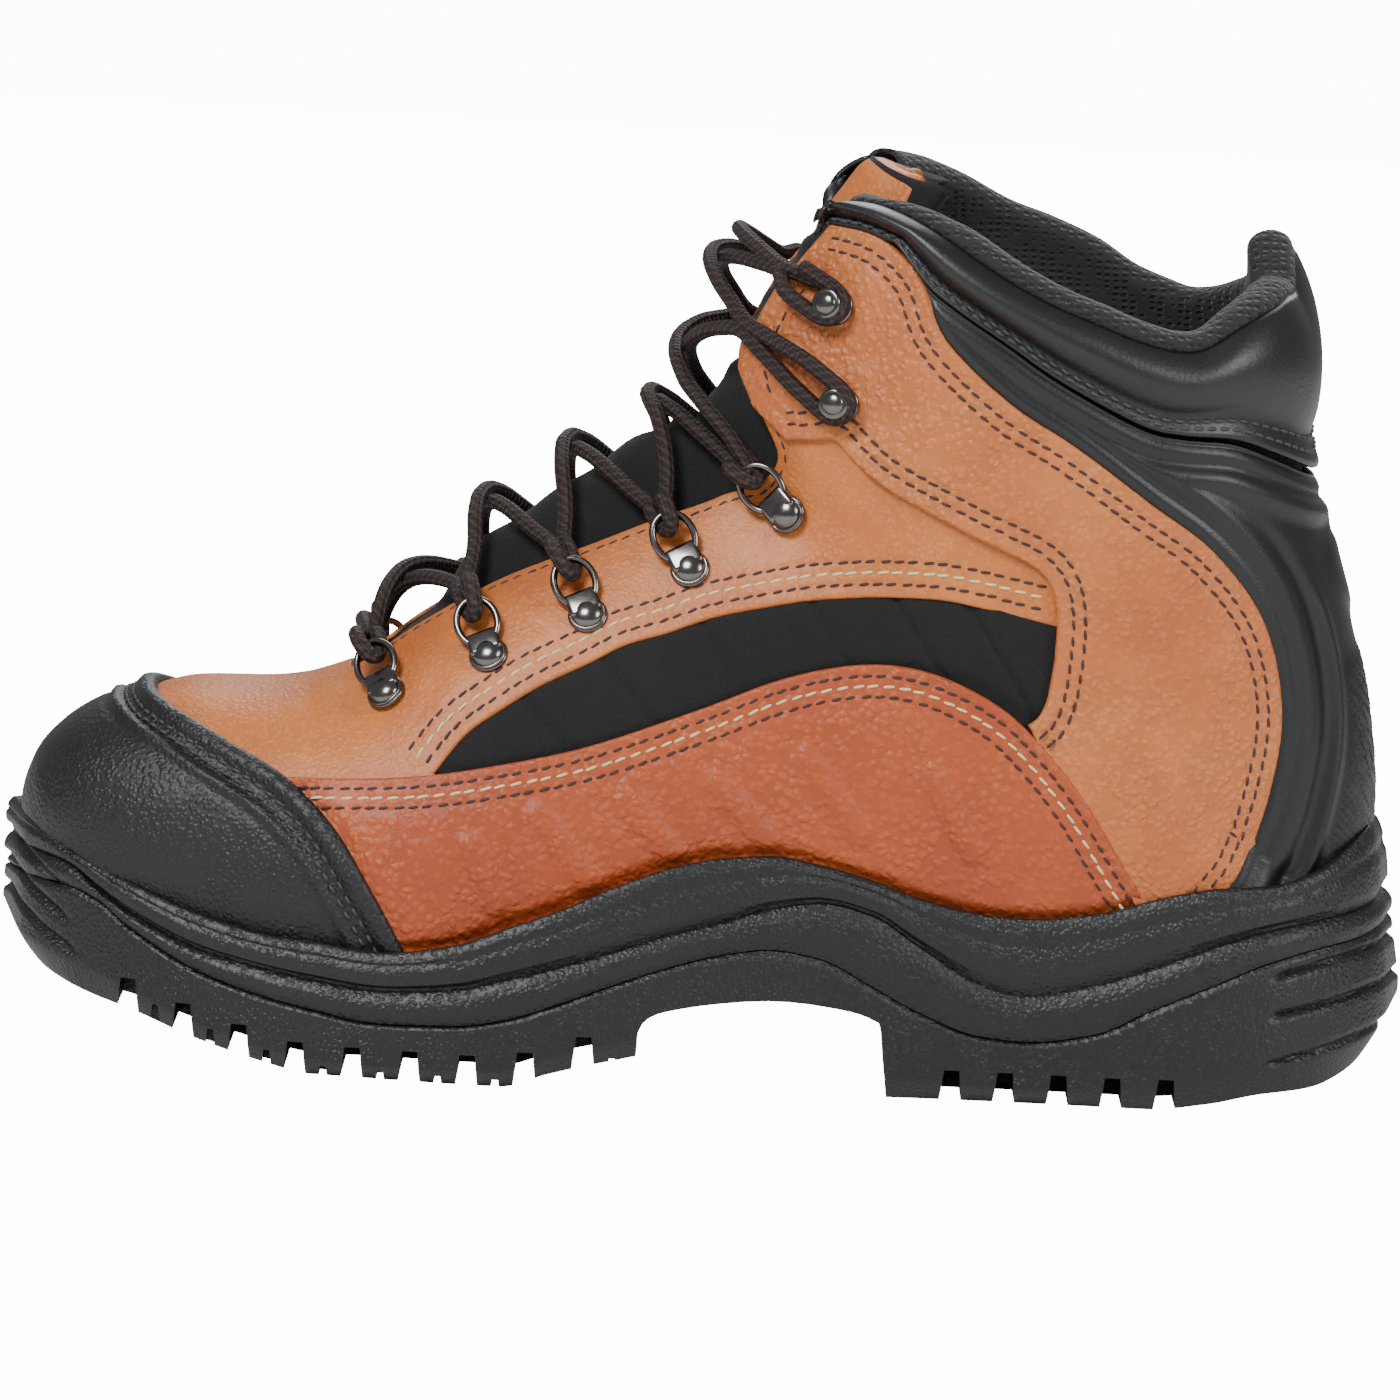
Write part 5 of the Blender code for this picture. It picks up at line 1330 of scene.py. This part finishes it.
def stitchMesh(rows, length, radius):
    # rows: stitch centres, directions and normals
    points, faces = [], []
    sides = stitch["sides"]
    for spot, way, normal in rows:
        across = np.cross(normal, way)
        start = len(points)
        for along, wide, high in stitchRings:
            for step in range(sides):
                angle = step / sides * math.tau
                points.append(spot + way * along * length + across * math.cos(angle) * radius * wide
                              + normal * radius * (high + math.sin(angle) * wide))
        for ring in range(len(stitchRings) - 1):
            for step in range(sides):
                after = (step + 1) % sides
                base = start + ring * sides
                faces.append((base + step, base + after, base + sides + after, base + sides + step))
        faces.append(tuple(start + step for step in reversed(range(sides))))
        last = start + (len(stitchRings) - 1) * sides
        faces.append(tuple(last + step for step in range(sides)))
    return np.array(points), faces


def stitchRows(place, side, lift, pitch):
    dense = spread(place, side, stitch["step"], keepEnd=True)
    spots = lifted(dense, side, np.full(len(dense), lift))
    normal = formNormal(dense[:, 0], dense[:, 1], side)
    run = runLength(spots)
    rows = []
    for at in np.arange(pitch / 2, run[-1], pitch):
        index = int(np.searchsorted(run, at))
        index = min(max(index, 1), len(run) - 1)
        way = unit(spots[min(index + 2, len(run) - 1)] - spots[max(index - 2, 0)])
        tilt = math.radians(stitch["tilt"])
        across = np.cross(normal[index], way)
        rows.append((spots[index], way * math.cos(tilt) + across * math.sin(tilt), normal[index]))
    return rows


def gridStitches(grid, column, pitch):
    # Stitches that follow one line of points of a grid
    spots = grid[:, column]
    beyond = grid[:, column + 1]
    run = runLength(spots)
    rows = []
    for at in np.arange(pitch, run[-1] - pitch, pitch):
        spot, ahead, up = (np.array([np.interp(at + step, run, line[:, axis]) for axis in range(3)])
                           for step, line in ((0, spots), (0.001, spots), (0, beyond)))
        way = unit(ahead - spot)
        normal = unit(np.cross(way, up - spot))
        core = np.array([0.085, boot["middleShift"], spot[2]])
        rows.append((spot, way, normal if normal @ (spot - core) > 0 else -normal))
    return rows


def seamStitches(name, material, slot, lines, length=0.0027, pitch=0.0032, radius=0.00034, ready=()):
    rows = list(ready)
    for place, side, lift in lines:
        rows += stitchRows(place, side, lift, pitch)
    points, faces = stitchMesh(rows, length, radius)
    piece = meshPiece(name, points, faces, material)
    keep(piece, slot)
    return piece


def beside(place, side, distance, target):
    # The offset line on whichever side brings it nearer to target
    one = offsetSeam(place, side, distance)
    two = offsetSeam(place, side, -distance)
    aim = formPlace(np.array([target[0]]), np.array([target[1]]), side)[0]
    gapOne = np.linalg.norm(formPlace(one[:, 0], one[:, 1], side) - aim, axis=1).mean()
    gapTwo = np.linalg.norm(formPlace(two[:, 0], two[:, 1], side) - aim, axis=1).mean()
    return one if gapOne < gapTwo else two


darkLines, creamLines, blackLines = [], [], []
foxingCore = findPlace(0.020, 0.060)
ankleCore = findPlace(0.085, 0.100)
vampCore = findPlace(-0.030, 0.110)
capCore = (3.0, 0.4)
for side in (-1, 1):
    foxingTopLine = foxingLine[(foxingLine[:, 0] > 6.0) & (foxingLine[:, 1] > 0.10)]
    foxingFace = foxing["base"] + foxing["thick"] - foxing["dip"]
    darkLines.append((beside(foxingTopLine, side, 0.0026, foxingCore), side, foxingFace))
    creamLines.append((beside(foxingTopLine, side, 0.0048, foxingCore), side, foxingFace))
    darkLines.append((beside(foxingTopLine, side, 0.0071, foxingCore), side, foxingFace))
    vampTop = vamp["base"] + vamp["thick"] - vamp["dip"]
    window = windowLine[windowLine[:, 0] < findPlace(0.072, 0.106)[0]]
    for distance, group in ((0.0029, darkLines), (0.0055, creamLines), (0.0079, darkLines)):
        group.append((beside(window, side, distance, vampCore), side, vampTop))
    throat = throatEdge(7.3, 16.2, 160, widen=1.0)
    darkLines.append((beside(throat, side, 0.0024, vampCore), side, vampTop))
    ankleTop = ankle["base"] + ankle["thick"] - ankle["dip"]
    edges = ankleEdges()
    for distance in (0.0036, 0.0062):
        darkLines.append((beside(edges[0][1], side, distance, ankleCore), side, ankleTop))
        rear = edges[2][1][edges[2][1][:, 1] > 0.06]
        darkLines.append((beside(rear, side, distance, ankleCore), side, ankleTop))
    throatTop = throatEdge(edges[0][1][0][0], 20.3, 90)
    darkLines.append((beside(throatTop, side, 0.0062, ankleCore), side, ankleTop))
    rim = rimLine[rimLine[:, 1] > 0.14]
    capTop = cap["base"] + cap["thick"] - cap["stitchDown"]
    for distance in (0.0053, 0.0072):
        blackLines.append((beside(rim, side, distance, capCore), side, capTop))
seamStitches("darkStitching", darkThread, "lace_cord", darkLines)
seamStitches("creamStitching", creamThread, "lace_cord", creamLines, length=0.0030, pitch=0.0034)
collarRows = [row for column in (2, 4) for row in gridStitches(outerGrid, column, collar["stitchPitch"])]
seamStitches("blackStitching", blackThreadPaintedHighlight, "padded_leather", blackLines, length=0.0026, pitch=0.0033,
             radius=0.00046, ready=collarRows)
print("stitches ready")


# Window between eyestay and foxing: suede, quilted by slanted channels
window = {"base": -0.0011, "thick": 0.0004, "puff": 0.0008, "channel": 0.0009}
channelEnds = (((-43.5, 87.0), (-31.0, 74.0)), ((-24.0, 93.5), (-11.5, 79.5)), ((-4.0, 103.5), (9.0, 84.5)),
               ((20.0, 109.0), (33.0, 90.0)), ((38.0, 111.0), (51.0, 92.0)), ((55.0, 109.5), (69.0, 88.0)))


def windowRelief(spots, mainGap, edgeGap, place):
    lift = window["puff"] * np.clip((edgeGap - 0.0032) / 0.0022, 0, 1)
    for (x0, z0), (x1, z1) in channelEnds:
        way = np.array([x1 - x0, z1 - z0]) / math.hypot(x1 - x0, z1 - z0)
        aside = np.abs((spots[:, 0] / mm - x0) * way[1] - (spots[:, 2] / mm - z0) * way[0])
        lift = lift - window["channel"] * np.exp(-(aside / 0.95) ** 2)
    return lift


def windowEdges():
    upper = windowLine + np.array([[0.0, 0.022]])
    lower = between(foxingLine, upper[0][0], frontLine[-1][0] + 0.35) - np.array([[0.0, 0.025]])
    return [("free", upper), ("free", np.vstack([upper[-1:], lower[::-1], upper[:1]]))]


for side, word in ((-1, "Outer"), (1, "Inner")):
    windowPiece = makePanel(f"window{word}Suede", blackSuede, {side: windowEdges()}, window["base"],
                            window["thick"], relief=windowRelief, roundness=0.0006, spacing=0.0011)
    keep(windowPiece, "tongue_suede")


# Hardware
ringSeats = ((7.49, 0.865, 2), (8.60, 0.815, -1), (9.74, 0.805, -1), (11.04, 0.820, 0), (13.03, 0.845, 4))
hookSeats = ((17.62, 0.82, 1), (19.82, 0.87, 0))
ring = {"plateLength": 0.0090, "plateWidth": 0.0088, "plateThick": 0.0012, "rivet": 0.0037, "wire": 0.00138,
        "loopHalfLong": 0.0056, "loopHalfWide": 0.0045, "reach": 0.0096, "tilt": 14.0,
        "strapAt": 0.0022, "strapLong": 0.0060, "strapTall": 0.0030, "domeShare": 0.62, "loopHeight": 0.0031}
hook = {"base": 0.0043, "baseThick": 0.0012, "stem": 0.0018, "head": 0.0035, "headThick": 0.0018,
        "crown": 0.0025, "rise": 0.0058, "overlay": 0.0020}


def seatFrame(section, up, side, lift):
    # A seat on the last: Z out of the boot, X up the section toward the throat
    turn = turnOf(section, up)
    spot = formPlace(section, turn, side)
    normal = formNormal(np.array([section]), np.array([turn]), side)[0]
    toward = formPlace(section, turnOf(section, up + 0.02), side) - spot
    toward = unit(toward - toward @ normal * normal)
    across = np.cross(normal, toward)
    frameAt = Matrix((toward, across, normal)).transposed().to_4x4()
    return Matrix.Translation(spot + normal * lift) @ frameAt


def addBevel(piece, width, segments=3):
    bevel = piece.modifiers.new("bevel", "BEVEL")
    bevel.width = width
    bevel.segments = segments
    bevel.limit_method = "ANGLE"
    bpy.context.view_layer.objects.active = piece
    bpy.ops.object.modifier_apply(modifier="bevel")


def joined(name, pieces, material):
    # One mesh from several pieces, with their placing baked in
    bpy.ops.object.select_all(action="DESELECT")
    for piece in pieces:
        piece.select_set(True)
    bpy.context.view_layer.objects.active = pieces[0]
    bpy.ops.object.transform_apply(location=True, rotation=True, scale=True)
    bpy.ops.object.join()
    whole = bpy.context.object
    whole.name = name
    bpy.ops.object.shade_smooth_by_angle(angle=math.radians(40))
    whole.data.materials.clear()
    whole.data.materials.append(material)
    return whole


def ringPattern():
    thick = ring["plateThick"]
    dome = -(ring["plateLength"] / 2 - ring["rivet"] - 0.0005)
    bpy.ops.mesh.primitive_cylinder_add(vertices=40, radius=ring["plateWidth"] / 2, depth=thick,
                                        location=(dome, 0, thick / 2))
    foot = bpy.context.object
    addBevel(foot, 0.0004)
    bpy.ops.mesh.primitive_cube_add(size=1, location=(ring["strapAt"], 0, 0.0016))
    strap = bpy.context.object
    strap.scale = (ring["strapLong"], ring["plateWidth"] * 0.86, ring["strapTall"])
    bpy.ops.object.transform_apply(location=False, rotation=False, scale=True)
    addBevel(strap, 0.0011, 4)
    bpy.ops.mesh.primitive_uv_sphere_add(segments=32, ring_count=16, radius=ring["rivet"],
                                         location=(dome, 0, thick))
    rivet = bpy.context.object
    rivet.scale = (1, 1, ring["domeShare"])
    bpy.ops.mesh.primitive_torus_add(major_segments=40, minor_segments=10,
                                     major_radius=ring["rivet"] + 0.0001, minor_radius=0.0004,
                                     location=(dome, 0, thick + 0.0002))
    lip = bpy.context.object
    bpy.ops.curve.primitive_bezier_circle_add(radius=1)
    loop = bpy.context.object
    loop.scale = (ring["loopHalfLong"], ring["loopHalfWide"], 1)
    bpy.ops.object.transform_apply(location=False, rotation=False, scale=True)
    loop.data.bevel_depth = ring["wire"]
    loop.data.bevel_resolution = 4
    loop.data.resolution_u = 12
    loop.rotation_euler = (0, -math.radians(ring["tilt"]), 0)
    loopAt = ring["plateLength"] / 2 + ring["reach"] - ring["wire"] - ring["loopHalfLong"]
    loop.location = (loopAt, 0, ring["loopHeight"])
    bpy.ops.object.convert(target="MESH")
    return joined("ringPattern", [foot, strap, rivet, lip, loop], gunmetal)


def hookPattern():
    bpy.ops.mesh.primitive_cylinder_add(vertices=40, radius=hook["base"], depth=hook["baseThick"],
                                        location=(0, 0, hook["baseThick"] / 2))
    foot = bpy.context.object
    addBevel(foot, 0.0005)
    bpy.ops.mesh.primitive_cylinder_add(vertices=24, radius=hook["stem"],
                                        depth=hook["rise"] - hook["baseThick"],
                                        location=(0, 0, hook["rise"] / 2))
    stem = bpy.context.object
    bpy.ops.mesh.primitive_cylinder_add(vertices=40, radius=hook["head"], depth=hook["headThick"],
                                        location=(0, 0, hook["rise"] - hook["headThick"] / 2))
    head = bpy.context.object
    addBevel(head, 0.0007, 4)
    bpy.ops.mesh.primitive_uv_sphere_add(segments=32, ring_count=12, radius=hook["crown"],
                                         location=(0, 0, hook["rise"] - 0.0003))
    crown = bpy.context.object
    crown.scale = (1, 1, 0.42)
    return joined("hookPattern", [foot, stem, head, crown], gunmetal)


def placed(pattern, name, matrix, node):
    mesh = pattern.data.copy()
    mesh.transform(matrix)
    piece = bpy.data.objects.new(name, mesh)
    bpy.context.scene.collection.objects.link(piece)
    keep(piece, "gunmetal", node)


ringShape, hookShape = ringPattern(), hookPattern()
for side, word in ((-1, "lateral"), (1, "medial")):
    for index, (section, up, height) in enumerate(ringSeats):
        seat = seatFrame(section, up, side, height * boot["gap"])
        placed(ringShape, f"dRing_{word}_{index + 1}", seat, f"d_ring_{word}_{index + 1}")
    for index, (section, up, height) in enumerate(hookSeats):
        seat = seatFrame(section, up, side, hook["overlay"] + height * boot["gap"])
        placed(hookShape, f"hook_{word}_{index + 1}", seat, f"lace_hook_{word}_{index + 1}")
for pattern in (ringShape, hookShape):
    bpy.data.objects.remove(pattern)
print("hardware ready")


# Lace: one round braid through rings and round hooks
lace = {"radius": 0.00178, "bow": 0.0036, "over": 0.0030, "clear": 0.0006, "step": 0.0008,
        "smoothing": 9, "sides": 12}
allSeats = [(section, up, height * boot["gap"], "ring") for section, up, height in ringSeats]
allSeats += [(section, up, hook["overlay"] + height * boot["gap"], "hook")
             for section, up, height in hookSeats]


def seatSigned(index, side):
    section, up, lift, kind = allSeats[index]
    matrix = seatFrame(section, up, side, lift)
    turn = turnOf(section, up)
    ahead = Vector(formPlace(section + 0.3, turn, side) - formPlace(section, turn, side))
    sign = 1 if ahead.dot(matrix.to_3x3() @ Vector((0, 1, 0))) > 0 else -1
    return matrix, sign, kind


def throughSeat(index, side, rising):
    # The turn the lace makes at a seat; rising means it comes from the toe and leaves toward the collar
    matrix, sign, kind = seatSigned(index, side)
    way = sign if rising else -sign
    if kind == "ring":
        local = ((0.0170, -1.9, 0.0026), (0.0135, -1.7, 0.0022), (0.0100, -1.2, 0.0021),
                 (0.0082, 0.0, 0.0034), (0.0092, 0.9, 0.0056), (0.0125, 1.5, 0.0072), (0.0160, 1.9, 0.0066))
        local = [(x, y * mm * way, z) for x, y, z in local]
    else:
        reach = hook["stem"] + lace["radius"]
        local = [(0.0110, -0.0032 * way, 0.0026)]
        for step in range(7):
            angle = -math.pi / 2 + step / 6 * math.pi
            local.append((-reach * math.cos(angle), reach * math.sin(angle) * way, 0.0030 + 0.0002 * step))
        local.append((0.0110, 0.0034 * way, 0.0046))
    return [np.array(matrix @ Vector(point)) for point in local]


def laceFloor(section, share):
    leather = np.where(section > 12, 0.0023, 0.0003)
    return np.maximum(tongueLift(section, share), leather * np.clip((np.abs(share) - 0.75) / 0.3, 0, 1))


def crossing(fromIndex, fromSide, toIndex, level):
    # Points over the tongue from one side's seat to the other's
    first, last = allSeats[fromIndex][0], allSeats[toIndex][0]
    points = []
    for share in np.linspace(0.13, 0.87, 12):
        section = first + (last - first) * (0.5 - 0.5 * math.cos(share * math.pi))
        gap = float(readForm("gap", section)) * boot["ballWidth"]
        across = fromSide * gap * 1.12 * math.cos(share * math.pi)
        bow = math.sin(share * math.pi)
        lift = float(laceFloor(section, across / gap)) + lace["radius"] + lace["clear"]
        lift += lace["bow"] * bow ** 2
        lift += level * lace["over"] * bow ** 4
        points.append(overTongue(np.array([section]), np.array([across]), np.array([lift]))[0])
    return points


def lacePath():
    path = []
    order = [(6, -1), (5, 1), (4, -1), (3, 1), (2, -1), (1, 1), (0, -1)]
    for (index, side), (after, otherSide) in zip(order[:-1], order[1:]):
        path += throughSeat(index, side, False)
        path += crossing(index, side, after, 1 if index % 2 else 0)
    path += throughSeat(0, -1, False)
    path += crossing(0, -1, 0, 0)
    path += throughSeat(0, 1, True)
    rising = [(0, 1), (1, -1), (2, 1), (3, -1), (4, 1), (5, -1), (6, 1)]
    for (index, side), (after, otherSide) in zip(rising[:-1], rising[1:]):
        path += crossing(index, side, after, 0 if after % 2 else 1)
        path += throughSeat(after, otherSide, True)
    path += crossing(6, 1, 6, 0.4)
    matrix, sign, _ = seatSigned(6, -1)
    path.append(np.array(matrix @ Vector((0.0040, 0.0030 * sign, 0.0016))))
    return np.array(path)


def smoothPath(points, step):
    # An even, softened run of points through a rough path
    run = runLength(points)
    at = np.arange(0, run[-1], step)
    even = np.column_stack([np.interp(at, run, points[:, axis]) for axis in range(3)])
    for _ in range(lace["smoothing"]):
        even[1:-1] = 0.25 * even[:-2] + 0.5 * even[1:-1] + 0.25 * even[2:]
    return even


def tubePiece(name, path, radius, sides, material):
    way = unit(np.gradient(path, axis=0))
    normal = unit(np.cross(way[0], (0.3, 0.5, 0.8)))
    rings = []
    for spot, ahead in zip(path, way):
        normal = unit(normal - ahead * (normal @ ahead))
        other = np.cross(ahead, normal)
        angles = np.arange(sides) / sides * math.tau
        rings.append(spot + radius * (np.cos(angles)[:, None] * normal + np.sin(angles)[:, None] * other))
    grid = np.array(rings)
    mesh = bpy.data.meshes.new(name)
    rows = len(grid)
    faces = gridFaces(rows, sides, True)
    faces += [tuple(reversed(range(sides))), tuple(range((rows - 1) * sides, rows * sides))]
    mesh.from_pydata([tuple(point) for point in grid.reshape(-1, 3)], [], faces)
    run = runLength(path)
    spots = []
    for row in range(rows - 1):
        for column in range(sides):
            low, high = column / sides, (column + 1) / sides
            spots += [(run[row], low), (run[row], high), (run[row + 1], high), (run[row + 1], low)]
    spots += [(0, step / sides) for step in range(2 * sides)]
    layer = mesh.uv_layers.new(name="UVMap")
    layer.data.foreach_set("uv", np.array(spots, np.float32).ravel())
    mesh.polygons.foreach_set("use_smooth", np.ones(len(mesh.polygons), bool))
    mesh.materials.append(material)
    mesh.update()
    piece = bpy.data.objects.new(name, mesh)
    bpy.context.scene.collection.objects.link(piece)
    return piece


laceRun = smoothPath(lacePath(), lace["step"])
lacePiece = tubePiece("roundLace", laceRun, lace["radius"], lace["sides"], laceBraid)
laceCrossings = [f"lace_cross_{number}" for number in range(1, 7)]
keep(lacePiece, "lace_cord", "lace_bar_1", "lace_bar_top", *laceCrossings)
print("lace ready", round(float(runLength(laceRun)[-1]), 3))


# Insole
insole = {"thick": 0.0045, "inset": 0.0041, "lip": 0.0010, "last": 15.0, "points": 21}


def insoleGrid():
    rows = []
    for section in np.linspace(1, insole["last"], 70):
        lowX, lowZ = sectionLine(np.array(section))[:2]
        half = float(readForm("soleWide", section)) * boot["ballWidth"] - insole["inset"]
        shift = float(readForm("shift", section)) * boot["ballWidth"] + boot["middleShift"]
        share = np.linspace(-1, 1, insole["points"])
        flat = np.ones(insole["points"])
        cup = insole["lip"] * np.abs(share) ** 4 - 0.0008 * (1 - np.abs(share) ** 2)
        edge = np.where(np.abs(share) > 0.99, 0.0012, 0)
        topHeight = lowZ + insole["thick"] + cup - edge
        top = np.column_stack([flat * lowX, shift + half * share * 0.985, topHeight])
        low = np.column_stack([flat * lowX, shift + half * share, flat * lowZ])
        rows.append(np.concatenate([top, low[::-1]]))
    return np.array(rows)


insolePiece = loftPiece("insoleCloth", insoleGrid(), liningMesh, flip=True)
keep(insolePiece, "insole_cloth", "insole")
print("insole ready")


# Studio: pale floor, soft light from all round, camera at the photograph's angle
view = {"target": (-0.0027, 0.0, 0.0817), "distance": 2.4, "elevation": 6.0, "roll": 2.99, "lens": 277.5,
        "skyLight": 0.32, "skySeen": 14.0, "floorLight": 0.08, "floorSeen": 14.0}


def makeStage():
    bpy.ops.mesh.primitive_plane_add(size=8, location=(0, 0, -0.0002))
    floor = bpy.context.object
    floor.name = "paleFloor"
    material, tree, shader, place = startMaterial("paintedStudioFloor")
    speck = addNode(tree, "ShaderNodeTexNoise", {}, {"Scale": 6.0}, {"Vector": place})
    tint = addNode(tree, "ShaderNodeMix", {"data_type": "RGBA"}, {6: colour("#F1F1F0"), 7: colour("#EDEDEC")},
                   {0: speck.outputs["Fac"]})
    tree.links.new(tint.outputs[2], shader.inputs["Base Color"])
    shader.inputs["Roughness"].default_value = 0.7
    shader.inputs["Emission Color"].default_value = colour("#FFFFFF")
    seen = addNode(tree, "ShaderNodeLightPath", {}, {}, {})
    glow = addNode(tree, "ShaderNodeMix", {"data_type": "FLOAT"},
                   {2: view["floorLight"], 3: view["floorSeen"]}, {0: seen.outputs["Is Camera Ray"]})
    tree.links.new(glow.outputs[0], shader.inputs["Emission Strength"])
    floor.data.materials.append(material)
    world = bpy.data.worlds.new("softStudio")
    world.use_nodes = True
    sky = world.node_tree
    sky.nodes["Background"].inputs["Color"].default_value = colour("#F7F9FF")
    seen = addNode(sky, "ShaderNodeLightPath", {}, {}, {})
    strength = addNode(sky, "ShaderNodeMix", {"data_type": "FLOAT"},
                       {2: view["skyLight"], 3: view["skySeen"]}, {0: seen.outputs["Is Camera Ray"]})
    sky.links.new(strength.outputs[0], sky.nodes["Background"].inputs["Strength"])
    bpy.context.scene.world = world
    lamps = (("key", (-0.9, -1.5, 1.7), 0.8, 60.0), ("side", (1.5, -1.1, 1.0), 0.7, 20.0),
             ("back", (0.3, 1.6, 1.5), 1.2, 26.0))
    for name, spot, size, power in lamps:
        bpy.ops.object.light_add(type="AREA", location=spot)
        lamp = bpy.context.object
        lamp.name = name + "Softbox"
        lamp.data.size = size
        lamp.data.energy = power
        lamp.rotation_euler = (Vector((0, 0, 0.1)) - Vector(spot)).to_track_quat("-Z", "Y").to_euler()


def makeCamera():
    tilt = math.radians(view["elevation"])
    target = Vector(view["target"])
    spot = target + view["distance"] * Vector((0, -math.cos(tilt), math.sin(tilt)))
    bpy.ops.object.camera_add(location=spot)
    camera = bpy.context.object
    camera.data.sensor_width = 36
    camera.data.lens = view["lens"]
    aim = (target - spot).to_track_quat("-Z", "Y").to_matrix().to_4x4()
    camera.matrix_world = Matrix.Translation(spot) @ aim @ Matrix.Rotation(math.radians(view["roll"]), 4, "Z")
    bpy.context.scene.camera = camera


makeStage()
makeCamera()
print("stage ready")
